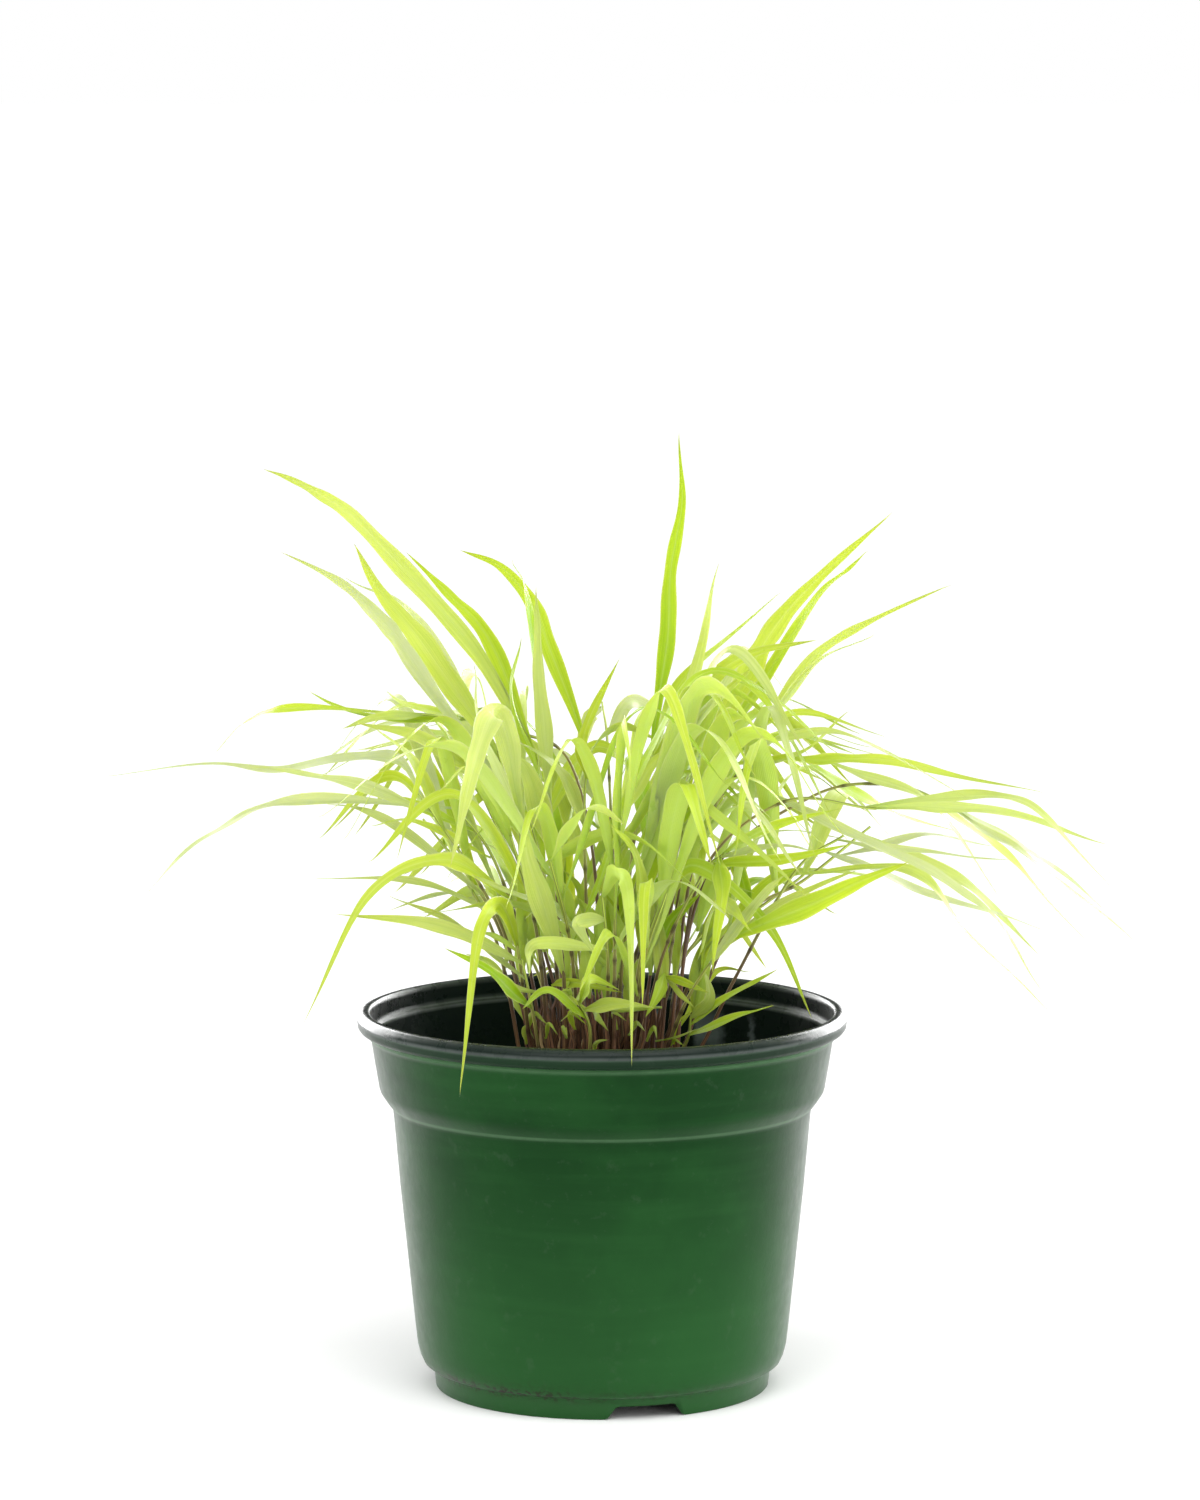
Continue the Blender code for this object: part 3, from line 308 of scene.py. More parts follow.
# Foot (x, y), places of the culm (x, z, depth), then its blades: share of the culm, width that shows, and
# places to the tip.
stems = {
    "left_long": ((-20, -4), (
        (-24, 116, -6), (-32, 151, -5), (-42, 172, -4), (-55, 192, -3), (-62, 202, -2)), (
        (0.94, 4.4, ((-69, 213, 4), (-87, 213, 14), (-107, 209.5, 26), (-130, 211, 38), (-168, 207, 50))),
        (0.88, 3.7, ((-82, 204, -12), (-100, 208, -22), (-118, 210, -28))),
        (0.80, 4.0, ((-64, 213, -20), (-77, 224, -28))),
        (0.62, 3.7, ((-72, 192, 12), (-93, 198, 22))))),
    "right_long": ((22, 8), ((34, 170, 12), (70, 200, 16), (98, 204, 10), (119, 196, 0)), (
        (0.97, 3.0, ((148, 176, -30), (179.5, 151, -60))),
        (0.90, 2.4, ((135, 181, 26), (163, 151, 34))),
        (0.99, 2.6, ((145, 181, 14), (169, 162, 20))))),
    "front_drooping": ((-10, -20), ((-14, 150, -34), (-28, 196, -44)), (
        (0.97, 10.0, ((-35, 228, -74), (-43, 210, -112), (-51, 176, -145))),
        (0.50, 8.4, ((-24, 176, -54), (-26, 190, -58))),
        (0.80, 3.0, ((-40, 222, -34), (-43, 245, -36))))),
    "back_drooping": ((2, 20), ((4, 160, 34), (2, 215, 56), (0, 232, 72)), (
        (0.97, 6.0, ((-6, 222, 100), (-12, 176, 145))),
        (0.80, 6.0, ((12, 232, 76), (34, 214, 110))),
        (0.60, 6.0, ((-14, 214, 60), (-38, 206, 96))))),
    "tallest": ((6, 8), ((10, 180, 10), (17, 216, 12)), (
        (0.98, 6.8, ((21, 249, 14), (23, 275, 15), (26.5, 299, 16), (25.6, 322.6, 18))),
        (0.93, 6.7, ((36, 239, 0), (49, 248, -4), (72, 253, -10))),
        (0.80, 4.0, ((27, 239, 26), (60, 269, 36))))),
    "top_right_wide": ((14, 10), ((22, 175, 12), (32, 208, 14)), (
        (0.98, 9.2, ((47, 239, 15), (57, 256, 16), (72, 273.5, 18), (97, 296, 20))),
        (0.90, 4.7, ((69, 263, 30), (89, 283, 36))),
        (0.70, 4.0, ((39, 206, -20), (57, 192, -36))))),
    "top_left_long": ((-10, 4), ((-18, 185, 6), (-22, 216, 10)), (
        (0.97, 7.4, ((-47, 255, 13), (-79, 290, 18), (-97, 303.5, 22), (-113, 310.2, 25))),
        (0.90, 6.2, ((-38, 253, 12), (-51, 268, 14), (-65.5, 282.5, 18))),
        (0.80, 3.0, ((-30, 235, -6), (-27, 254, -8))))),
    "top_left_wide": ((-16, -2), ((-26, 180, 0), (-35, 216, 2)), (
        (0.97, 10.2, ((-50, 238, -2), (-62, 254, -6), (-74, 269, -8), (-83, 285.5, -10))),
        (0.90, 4.0, ((-61, 259, 8), (-86, 274, 14))),
        (0.80, 6.6, ((-63, 245, -12), (-74, 260, -16), (-87, 272, -20), (-107.5, 282.5, -26))))),
    "top_middle": ((-4, 6), ((-6, 190, 8), (-4, 215, 10)), (
        (0.97, 7.2, ((-16, 247, 13), (-23, 264, 16), (-34, 277.5, 19), (-47.5, 283, 22))),
        (0.60, 5.0, ((-13, 208, -12), (-29, 219, -20))),
        (0.80, 5.7, ((-6, 221, -8), (6, 247, -12))))),
    "middle_upright": ((-12, -8), ((-16, 180, -12), (-19, 213, -14)), (
        (0.97, 3.4, ((-24, 262, 0), (-30, 280, 4))),
        (0.75, 6.0, ((-21, 239, -20), (-22, 271, -22))),
        (0.60, 9.0, ((-24, 205, -32), (-29, 215, -38))))),
    "left_arc": ((0, 10), ((-2, 170, 12), (-11, 212, 10), (-29, 222, 6), (-43, 226, 2), (-61, 228, 0)), (
        (0.99, 4.0, ((-74, 227, 0), (-87, 223, -2))),
        (0.86, 3.4, ((-65, 231, -5), (-72, 236, -8))),
        (0.84, 3.4, ((-82, 228, 12), (-98, 236, 18))),
        (0.93, 2.4, ((-104, 230, 10), (-118, 226, 20), (-130, 215, 30))))),
    "left_spread": ((-18, 6), ((-24, 140, 6), (-36, 178, 8), (-50, 198, 8)), (
        (0.97, 3.4, ((-101, 199, -10), (-131, 188, -22), (-154, 167, -34))),
        (0.85, 3.4, ((-66, 198, 16), (-80, 198, 24))),
        (0.75, 2.6, ((-64, 192, -8), (-78, 190, -14))))),
    "left_inner": ((-14, 2), ((-20, 150, 2), (-32, 190, 0), (-41, 209, -2)), (
        (0.97, 6.0, ((-61, 220, -24), (-82, 225, -34))),
        (0.88, 5.4, ((-57, 218, 20), (-73, 223, 30))))),
    "right_fine": ((16, -4), ((26, 175, -6), (40, 208, -8), (48, 220, -8)), (
        (0.97, 2.4, ((67, 229, -14), (95, 220, -22))),
        (0.92, 2.6, ((82, 221, -24), (123, 199, -40))),
        (0.86, 2.6, ((64, 221, 4), (85, 214, 10))))),
    "left_low": ((-24, -14), ((-26, 130, -18), (-31, 168, -26)), (
        (0.97, 5.7, ((-52, 179, -34), (-79, 166, -44), (-101, 122, -52))),
        (0.90, 2.6, ((-66, 172, -16), (-97, 172, -26))),
        (0.80, 6.7, ((-34, 164, -44), (-42, 150, -76), (-48, 98, -86))))),
    "left_basal": ((-20, -18), ((-23, 125, -22), (-27, 145, -24)), (
        (0.97, 5.4, ((-57, 157, -32), (-90, 160, -46))),
        (0.85, 2.6, ((-52, 158, -12), (-72, 167, -20))),
        (0.65, 4.7, ((-37, 140, -42), (-53, 149, -54))))),
    "front_hanging": ((2, -22), ((2, 140, -30), (0, 168, -40)), (
        (0.97, 7.0, ((5, 174, -56), (9, 164, -80), (10, 108, -92))),
        (0.85, 6.7, ((-8, 157, -56), (-2, 146, -68))),
        (0.70, 4.7, ((-22, 150, -54), (-25, 139, -64))))),
    "front_inner": ((-6, -12), ((-7, 140, -14), (-10, 163, -18)), (
        (0.97, 3.4, ((-30, 167, -30), (-44, 174, -38))),
        (0.85, 3.4, ((-18, 164, -36), (-26, 158, -44))))),
    "top_right_narrow": ((12, 2), ((17, 180, 0), (23, 212, -2)), (
        (0.97, 4.6, ((33, 251, -10), (39, 279, -14))),
        (0.85, 4.7, ((35, 229, -22), (54, 247, -30))))),
    "middle_right": ((4, -4), ((5, 160, -8), (6, 194, -12)), (
        (0.97, 4.6, ((18, 212, -24), (41, 218, -34))),
        (0.55, 8.4, ((22, 188, -32), (38, 202, -46))),
        (0.85, 6.0, ((22, 204, -40), (42, 191, -56), (69, 166, -68))))),
    "right_high": ((18, 6), ((28, 178, 8), (44, 212, 10), (55, 226, 10)), (
        (0.97, 5.2, ((65, 240, 11), (77, 252, 13), (91, 260, 15), (117, 271.5, 18))),
        (0.93, 2.6, ((72, 245, -2), (91, 255, -8))),
        (0.72, 3.4, ((66, 215, -12), (83, 229, -20))))),
    "right_spread": ((20, 0), ((30, 175, 2), (44, 206, 4), (60, 213, 4), (75, 213, 4)), (
        (0.80, 4.7, ((95, 212, -16), (149, 201, -30))),
        (0.88, 3.4, ((91, 198, 20), (119, 188, 34))),
        (0.97, 3.4, ((111, 197, 0), (133, 166, -6))),
        (0.60, 4.2, ((94, 183, -34), (128, 163, -48), (149, 133, -60))))),
    "right_reaching": ((22, -8), ((32, 170, -10), (60, 198, -14), (92, 196, -18)), (
        (0.97, 3.4, ((130, 201, -26), (150, 192, -34), (171, 169, -40))),
        (0.99, 4.7, ((129, 196, -4), (170, 184, 6))))),
    "right_low_front": ((29, -14), ((35, 118, -15), (45, 139, -16), (65, 175, -18), (81, 187, -20)), (
        (0.80, 2.8, ((103, 175, -30), (126, 151, -40), (151, 127, -50))),
        (0.90, 3.4, ((109, 168, -8), (149, 155, 0))),
        (0.97, 2.6, ((110, 181, -26), (137, 179, -32))))),
    "right_low_back": ((25, -2), ((28, 116, 0), (45, 157, 4), (68, 172, 8), (90, 190, 10)), (
        (0.97, 4.7, ((123, 170, 14), (147, 146, 20))),
        (0.88, 2.4, ((109, 187, 30), (133, 183, 40))))),
    "right_basal": ((18, -20), ((28, 130, -24), (43, 153, -30)), (
        (0.97, 8.4, ((77, 167, -44), (103, 178, -56))),
        (0.90, 4.7, ((64, 166, -26), (86, 175, -30))),
        (0.80, 4.7, ((52, 164, -42), (62, 174, -52))))),
    "right_middle": ((12, -14), ((20, 145, -20), (34, 174, -26), (41, 181, -28)), (
        (0.80, 5.0, ((59, 179, -36), (84, 184, -46))),
        (0.90, 2.6, ((60, 183, -22), (71, 182, -20))),
        (0.97, 3.6, ((59, 191, -46), (81, 196, -58))),
        (0.93, 6.7, ((40, 166, -56), (37, 140, -66))))),
    "right_curling": ((8, -16), ((12, 140, -22), (20, 166, -30)), (
        (0.97, 6.0, ((32, 177, -34), (56, 156, -30), (71, 124, -20))),
        (0.80, 5.0, ((12, 178, -44), (2, 192, -56))))),
    "shoot_right": ((27, -9), ((28, 116, -14), (30, 126, -18)), (
        (0.95, 5.7, ((36, 132, -24), (34, 142, -28))),
        (0.85, 2.8, ((46, 134, -24), (59, 142, -28))),
        (0.70, 3.0, ((46, 126, -34), (58, 129, -40))))),
    "shoot_front": ((-2, -26), ((-4, 120, -32), (-8, 131, -38)), (
        (0.95, 4.0, ((-4, 138, -50), (6, 134, -60))),
        (0.85, 4.4, ((4, 130, -44), (18, 128, -54))),
        (0.75, 3.6, ((-18, 134, -48), (-27, 128, -58))))),
}


def setBack(place):  # the real point of a place seen from the eye, at its own depth
    x, z, depth = place
    eye = growth["eye"]
    return eye + (Vector((x, 0.0, z)) - eye) * ((depth - eye.y) / -eye.y)


def seenAt(point):
    eye = growth["eye"]
    there = eye + (point - eye) * (eye.y / (eye.y - point.y))
    return there.x, there.z


def smoothCurve(knots, steps, lead=None):
    first = lead if lead is not None else knots[0] * 2 - knots[1]
    knots = [first] + list(knots) + [knots[-1] * 2 - knots[-2]]
    spans = len(knots) - 3
    points = []
    for step in range(steps + 1):
        place = spans * step / steps
        span = min(int(place), spans - 1)
        t = place - span
        a, b, c, d = knots[span:span + 4]
        points.append(0.5 * (2 * b + (c - a) * t + (2 * a - 5 * b + 4 * c - d) * t * t
                             + (3 * b - a - 3 * c + d) * t * t * t))
    return points


def alongLine(points, share):
    place = share * (len(points) - 1)
    step = min(int(place), len(points) - 2)
    return points[step].lerp(points[step + 1], place - step)


def directions(points):
    ways = []
    for step in range(len(points)):
        before = points[max(step - 1, 0)]
        after = points[min(step + 1, len(points) - 1)]
        ways.append((after - before).normalized())
    return ways


def tube(points, radii, sides):
    ways = directions(points)
    across = ways[0].orthogonal().normalized()
    rings = []
    for point, way, radius in zip(points, ways, radii):
        across = (across - way * across.dot(way)).normalized()
        other = way.cross(across)
        for step in range(sides):
            angle = math.tau * (step + 0.5) / sides
            rings.append(point + (across * math.cos(angle) + other * math.sin(angle)) * radius)
    faces = [tuple(range(sides)), tuple(range(len(rings) - sides, len(rings)))]
    for row in range(len(points) - 1):
        for step in range(sides):
            side = (step + 1) % sides
            here = row * sides
            faces.append((here + step, here + side, here + side + sides, here + step + sides))
    return rings, faces


def bladeFrames(points, facing, roll, twist):
    ways = directions(points)
    sideways = []
    for step, way in enumerate(ways):
        across = way.cross(facing).normalized()
        if sideways and across.dot(plain) < 0:
            across = -across
        plain = across
        angle = roll + twist * step / (len(points) - 1)
        sideways.append(Matrix.Rotation(angle, 3, way) @ across)
    return ways, sideways


def bladeWidth(width, share):
    spread = min(1.0, growth["rootShare"] + growth["spread"] * share)
    return max(growth["rootWidth"], width * spread) * (1 - share ** growth["taper"])


def bladeSolid(points, facing, width, roll, twist, extra=0.0):
    ways, sideways = bladeFrames(points, facing, roll, twist)
    last = len(points) - 1
    corners = []
    for step, point in enumerate(points):
        share = step / last
        normal = sideways[step].cross(ways[step])
        thick = growth["thickness"] + (growth["tipThickness"] - growth["thickness"]) * share
        up = normal * (thick + extra) / 2
        if step == last and extra == 0.0:
            corners += [point + up, point - up]
            continue
        wide = bladeWidth(width, share) + extra
        side = sideways[step] * wide / 2
        corners += [point - side + up, point + side + up, point - side - up, point + side - up]
    faces = [(0, 1, 3), (0, 3, 2)]
    full = last if extra else last - 1
    for step in range(full):
        a, b, c, d = (4 * step + corner for corner in range(4))
        e, f, g, h = (4 * step + 4 + corner for corner in range(4))
        faces += [(a, b, f), (a, f, e), (c, d, h), (c, h, g), (a, e, g), (a, g, c), (b, f, h), (b, h, d)]
    if extra:
        a, b, c, d = (4 * last + corner for corner in range(4))
        faces += [(a, b, d), (a, d, c)]
    else:
        a, b, c, d = (4 * full + corner for corner in range(4))
        top = 4 * full + 4
        faces += [(a, b, top), (c, d, top + 1), (a, top, top + 1)]
        faces += [(a, top + 1, c), (b, top, top + 1), (b, top + 1, d)]
    return corners, faces


def boxOf(points):
    low = Vector(min(p[i] for p in points) for i in range(3))
    high = Vector(max(p[i] for p in points) for i in range(3))
    return low, high


class Space:  # what already stands in the plant
    def __init__(self):
        self.kept = []

    def keep(self, owner, points, faces):
        low, high = boxOf(points)
        whole = BVHTree.FromPolygons(points, faces)
        isBlade = all(len(face) == 3 for face in faces)
        outer = BVHTree.FromPolygons(points, faces[growth["rootFaces"]:]) if isBlade else None
        self.kept.append((owner, low, high, whole, outer))

    def free(self, owner, points, faces, withOwn=True):
        low, high = boxOf(points)
        whole = None
        outer = None
        for other, keptLow, keptHigh, keptWhole, keptOuter in self.kept:
            if other == owner and (keptOuter is None or not withOwn):
                continue
            if any(low[i] > keptHigh[i] or high[i] < keptLow[i] for i in range(3)):
                continue
            if other == owner:
                outer = outer or BVHTree.FromPolygons(points, faces[growth["rootFaces"]:])
                if outer.overlap(keptOuter):
                    return False
                continue
            whole = whole or BVHTree.FromPolygons(points, faces)
            if whole.overlap(keptWhole):
                return False
        return True


def crownSpots():
    turn = math.pi * (3 - math.sqrt(5))
    spots = []
    for count in range(growth["crownSpots"]):
        radius = growth["crownSpacing"] * math.sqrt(count + growth["spotStart"])
        spots.append((radius * math.cos(turn * count), radius * math.sin(turn * count)))
    return spots


def takeSpot(spots, wanted):
    best = min(spots, key=lambda spot: math.dist(spot, wanted))
    spots.remove(best)
    return best


def culmKnots(foot, knots):
    low = Vector((foot[0], foot[1], growth["holeFloor"] + growth["culmStart"]))
    free = Vector((foot[0], foot[1], growth["straightHeight"]))
    return low, [free] + knots


def culmLine(foot, knots):
    low, line = culmKnots(foot, knots)
    return [low] + smoothCurve(line, growth["culmSteps"], low)


def culmRadii(count, extra=0.0):
    fall = growth["culmRadius"] - growth["culmTipRadius"]
    return [growth["culmRadius"] - fall * step / (count - 1) + extra for step in range(count)]


def nudged(places, nudge):  # the later a place on the line, the more of the nudge it takes
    knots = []
    for count, (x, z, depth) in enumerate(places):
        knots.append(setBack((x, z, depth + nudge * (count + 1) / len(places))))
    return knots


def tryCulm(space, name, foot, places):
    for nudge in growth["nudges"]:
        knots = nudged(places, nudge * growth["culmNudge"])
        line = culmLine(foot, knots)
        if space.free(name, *tube(line, culmRadii(len(line), growth["clearance"]), growth["culmSides"])):
            return line, knots
    return None, None


def tryBlade(space, name, culm, share, shown, places):
    base = alongLine(culm, share)
    young = shown < growth["youngLimit"]
    grown = growth["youngWidth"] if young else max(shown, growth["grownWidth"])
    facing = Vector((0.0, 1.0, 0.0))
    lean = -1.0 if places[-1][0] > places[0][0] else 1.0  # the upper side turns up and towards the eye
    for slim, withOwn in ((1.0, True), (growth["slim"], True), (1.0, False)):
        width = min(grown, growth["widestWidth"]) * slim
        roll = lean * math.acos(min(1.0, shown * slim / width))
        for nudge in growth["nudges"]:
            knots = [base] + nudged(places, nudge)
            line = smoothCurve(knots, max(growth["fewestSteps"], len(knots)))
            shape = (facing, width, roll, lean * growth["tracedTwist"])
            corners, faces = bladeSolid(line, *shape, growth["clearance"])
            if space.free(name, corners, faces, withOwn):
                return line, shape, knots
    return None


def growTraced(space, spots):
    plants = []
    for name, (wanted, places, blades) in stems.items():
        foot = takeSpot(spots, wanted)
        owner = "stem_" + name
        culm, knots = tryCulm(space, owner, foot, places)
        if culm is None:
            continue
        space.keep(owner, *tube(culm, culmRadii(len(culm)), growth["culmSides"]))
        grown = []
        for share, shown, turns in blades:
            blade = tryBlade(space, owner, culm, share, shown, turns)
            if blade is None:
                continue
            space.keep(owner, *bladeSolid(blade[0], *blade[1]))
            grown.append((share, *blade[1:]))
        plants.append((owner, foot, knots, grown))
    return plants


def insideCrown(line):
    for point in line:
        x, z = seenAt(point)
        if abs(point.y) > growth["reachDepth"] or abs(x) > growth["reachSide"]:
            return False
        dip = growth["crownMiddle"] + growth["crownRise"] * abs(x)
        if z > min(dip, growth["crownTop"] - growth["crownFall"] * x * x):
            return False
        floor = growth["backFloor"] if point.y > growth["backDepth"] else growth["frontFloor"]
        low = floor + growth["floorRise"] * max(0.0, abs(x) - growth["coreSide"])
        if z < low and math.hypot(point.x, point.y) > growth["potMouth"]:
            return False
    return True


def randomCulm(draw, foot, heading):
    reach = draw.uniform(*growth["culmReach"])
    height = draw.uniform(*growth["culmHeight"]) - growth["culmBow"] * reach
    way = Vector((math.cos(heading), math.sin(heading), 0.0))
    start = Vector((foot[0], foot[1], 0.0))
    straight = growth["straightHeight"]
    bow = Vector((0, 0, straight + (height - straight) * growth["bowHeight"]))
    knots = [start + way * reach * growth["culmBow"] + bow, start + way * reach + Vector((0, 0, height))]
    return culmLine(foot, knots), knots


def randomBlade(draw, culm, share, heading):
    base = alongLine(culm, share)
    length = draw.uniform(*growth["bladeLength"])
    climb = draw.uniform(*growth["bladeClimb"])
    droop = draw.uniform(*growth["bladeDroop"])
    way = Vector((math.cos(heading), math.sin(heading), 0.0))
    peak = base + way * length * growth["bladePeak"] + Vector((0, 0, length * climb))
    tip = base + way * length * growth["bladeReach"] + Vector((0, 0, length * (climb - droop)))
    width = draw.uniform(*growth["bladeWidth"])
    roll = draw.uniform(-growth["bladeRoll"], growth["bladeRoll"])
    twist = draw.uniform(-growth["bladeTwist"], growth["bladeTwist"])
    knots = [base, peak, tip]
    return smoothCurve(knots, growth["fewestSteps"]), (Vector((0.0, 0.0, 1.0)), width, roll, twist), knots


def growTiller(space, draw, name, foot, heading):
    for attempt in range(growth["tries"]):
        swing = draw.uniform(-growth["headingSpread"], growth["headingSpread"])
        culm, knots = randomCulm(draw, foot, heading + swing)
        solid = tube(culm, culmRadii(len(culm), growth["clearance"]), growth["culmSides"])
        if insideCrown(culm) and space.free(name, *solid):
            break
    else:
        return None
    grown = []
    for count in range(growth["blades"]):
        share = growth["firstShare"] - growth["shareStep"] * count
        turn = growth["bladeTurn"] * (1 + count % 3) * (-1) ** count
        for attempt in range(growth["tries"]):
            side = heading + turn + draw.uniform(-growth["turnSpread"], growth["turnSpread"])
            line, shape, turns = randomBlade(draw, culm, share, side)
            if insideCrown(line) and space.free(name, *bladeSolid(line, *shape, growth["clearance"])):
                grown.append((share, shape, turns))
                space.keep(name, *bladeSolid(line, *shape))
                break
    if len(grown) < growth["fewestBlades"]:
        return None
    space.keep(name, *tube(culm, culmRadii(len(culm)), growth["culmSides"]))
    return name, foot, knots, grown


def growTillers(space, spots):
    draw = random.Random(growth["seed"])
    plants = []
    for count in range(growth["tillers"]):
        start, sweep = growth["frontFan"] if count % growth["frontEvery"] == 0 else growth["backFan"]
        heading = math.radians(start + sweep * ((count * growth["goldenShare"]) % 1.0))
        wanted = (growth["feetCircle"] * math.cos(heading), growth["feetCircle"] * math.sin(heading))
        plant = growTiller(space, draw, f"tiller_{count + 1:02d}", takeSpot(spots, wanted), heading)
        if plant is not None:
            plants.append(plant)
    return plants


# The pot: one turned wall, finer than the solid one

potSizes = {
    "sides": 160, "solidSides": 38, "height": 128.0, "rim": 82.5, "lip": 6.8, "collarTop": 77.8,
    "collarFoot": 75.0, "collarFootHeight": 100.5, "step": 70.5, "stepHeight": 93.5, "bodyFoot": 62.3,
    "bodyFootHeight": 14.4, "foot": 55.8, "footHeight": 7.0, "wall": 1.2, "floor": 9.0,
    "drain": 5.0, "drains": 3, "drainCircle": 40.0, "drainSides": 24, "drainTurn": 60.0,
    "drainCut": (4.0, 12.0), "notches": 3, "notchWidth": 28.0, "notchHeight": 4.5, "notchCut": 8.0,
    "firstNotch": -75.0, "collarRaised": 1.0, "stepRaised": 1.6, "lipGreenRows": 5, "lipBlack": 0.7,
}


def solidWall(s):  # the solid pot's own corners, which the stems were kept clear of
    lipFoot = s["height"] - s["lip"]
    outside = [
        (s["foot"], 0.0), (s["foot"] + 1.2, s["footHeight"] - 1.0), (s["foot"] + 3.5, s["footHeight"] + 0.5),
        (s["bodyFoot"] - 0.9, s["footHeight"] + 4.5), (s["bodyFoot"] + 0.6, s["bodyFootHeight"] + 4.0),
        (s["step"], s["stepHeight"]), (s["collarFoot"] - 1.8, s["collarFootHeight"] - 3.5),
        (s["collarFoot"], s["collarFootHeight"]), (s["collarTop"], lipFoot - 3.8),
        (s["collarTop"] + 0.9, lipFoot - 2.2), (s["collarTop"] + 0.2, lipFoot - 0.6),
        (s["rim"] - 1.0, lipFoot), (s["rim"], lipFoot + 1.5), (s["rim"], s["height"] - 2.4),
        (s["rim"] - 1.2, s["height"] - 0.4),
    ]
    inside = [
        (s["rim"] - 3.0, s["height"]), (s["rim"] - 4.2, s["height"] - 0.9), (s["rim"] - 4.5, lipFoot + 0.9),
        (s["collarTop"] - s["wall"], lipFoot - 0.6), (s["collarFoot"] - s["wall"], s["collarFootHeight"]),
        (s["collarFoot"] - 1.8 - s["wall"], s["collarFootHeight"] - 3.2),
        (s["step"] - s["wall"], s["stepHeight"] - 0.2),
        (s["bodyFoot"] + 0.6 - s["wall"], s["bodyFootHeight"] + 4.0), (s["bodyFoot"] - 3.7, s["floor"] + 0.8),
        (s["drain"], s["floor"]), (s["drain"], s["floor"] - 1.4), (s["foot"] - 2.0, s["floor"] - 1.2),
        (s["foot"] - 1.7, 0.0),
    ]
    return outside + inside


def circle(radius, sides):
    turns = [math.tau * step / sides for step in range(sides)]
    return [(radius * math.cos(angle), radius * math.sin(angle)) for angle in turns]


def turnedRings(profile, sides):
    points = [(x, y, height) for radius, height in profile for x, y in circle(radius, sides)]
    faces = []
    for row in range(len(profile)):
        here = row * sides
        above = ((row + 1) % len(profile)) * sides
        for step in range(sides):
            side = (step + 1) % sides
            faces.append((here + step, here + side, above + side, above + step))
    return points, faces


space = Space()
space.keep("pot", *turnedRings(solidWall(potSizes), potSizes["solidSides"]))
freeSpots = crownSpots()
plants = growTraced(space, freeSpots)
plants += growTillers(space, freeSpots)
print("stems grown:", len(plants), "with", sum(len(plant[3]) for plant in plants), "blades")
grownNames = {plant[0] for plant in plants}
missing = [name for name in frame["nodes"] if name not in grownNames | {"pot", "potting_mix"}]
assert not missing, missing


# Leaf and culm materials

leafLook = {
    "deep": (0.180, 0.360, 0.008), "mid": (0.430, 0.565, 0.054), "pale": (0.415, 0.480, 0.270),
    "under": (0.380, 0.540, 0.105), "rib": (0.62, 0.68, 0.34), "edge": (0.45, 0.56, 0.16),
    "dry": (0.42, 0.30, 0.12),
    "roughness": 0.42, "shine": 0.12, "fibres": 13.0, "fibreDepth": 0.00005, "fibreStrength": 0.8,
    "glow": 0.60, "glowScale": 0.0018, "glowReach": (0.9, 1.0, 0.15),
}


def makeLeafMaterial(s):
    material, tree, shader = newMaterial("leafBlade")
    place = addNode(tree, "ShaderNodeUVMap", uv_map="bladeUv")
    parts = addNode(tree, "ShaderNodeSeparateXYZ", {0: place}).outputs
    across, along = parts["X"], parts["Y"]
    tint = attribute(tree, "tint")
    fibre = useGroup(tree, fibreLines, Across=across, Along=along, Lines=s["fibres"], Offset=tint)
    colour = ramp(tree, tint, (0.0, s["deep"]), (0.5, s["mid"]), (1.0, s["pale"]))
    darkEnds = ramp(tree, along, (0.0, 0.30), (0.12, 0.0), (0.55, 0.0), (1.0, 0.38))
    colour = mixColour(tree, darkEnds, colour, s["deep"])
    side = mathNode(tree, "ABSOLUTE", mathNode(tree, "SUBTRACT", across, 0.5))
    colour = mixColour(tree, ramp(tree, side, (0.0, 0.20), (0.05, 0.08), (0.16, 0.0)), colour, s["rib"])
    colour = mixColour(tree, ramp(tree, side, (0.43, 0.0), (0.495, 0.22)), colour, s["edge"])
    shade = ramp(tree, fibre["Streak"], (0.3, (0.87, 0.91, 0.80)), (0.68, (1.09, 1.05, 1.10)))
    colour = mixColour(tree, 1.0, colour, shade, "MULTIPLY")
    # the undersides' own tone, which also stands in for a painted sheen on the blades that show it
    colour = mixColour(tree, times(tree, attribute(tree, "under"), 0.7), colour, s["under"])
    worn = useGroup(tree, surfaceSpots, Scale=95.0, Level=0.66, Softness=0.05)
    colour = mixColour(tree, times(tree, worn["Mask"], 0.35), colour, s["deep"])
    tipOnly = ramp(tree, along, (0.90, 0.0), (1.0, 1.0))
    relief = mathNode(tree, "ADD", fibre["Ridge"], fibre["Streak"])
    feedAll(tree, shader, {
        "Base Color": mixColour(tree, times(tree, tipOnly, 0.25), colour, s["dry"]),
        "Roughness": mathNode(tree, "MULTIPLY_ADD", fibre["Streak"], 0.22, s["roughness"] - 0.10),
        "Specular IOR Level": s["shine"], "Subsurface Weight": s["glow"], "Subsurface Scale": s["glowScale"],
        "Subsurface Radius": s["glowReach"],
        "Normal": bump(tree, relief, s["fibreDepth"], s["fibreStrength"]),
    })
    return material


culmLook = {
    "foot": (0.165, 0.080, 0.040), "purple": (0.120, 0.060, 0.034), "olive": (0.280, 0.220, 0.070),
    "sheath": (0.330, 0.400, 0.060), "joint": (0.045, 0.022, 0.012), "roughness": 0.45, "fibres": 9.0,
    "fibreOffset": 0.3, "fibreDepth": 0.00008,
}


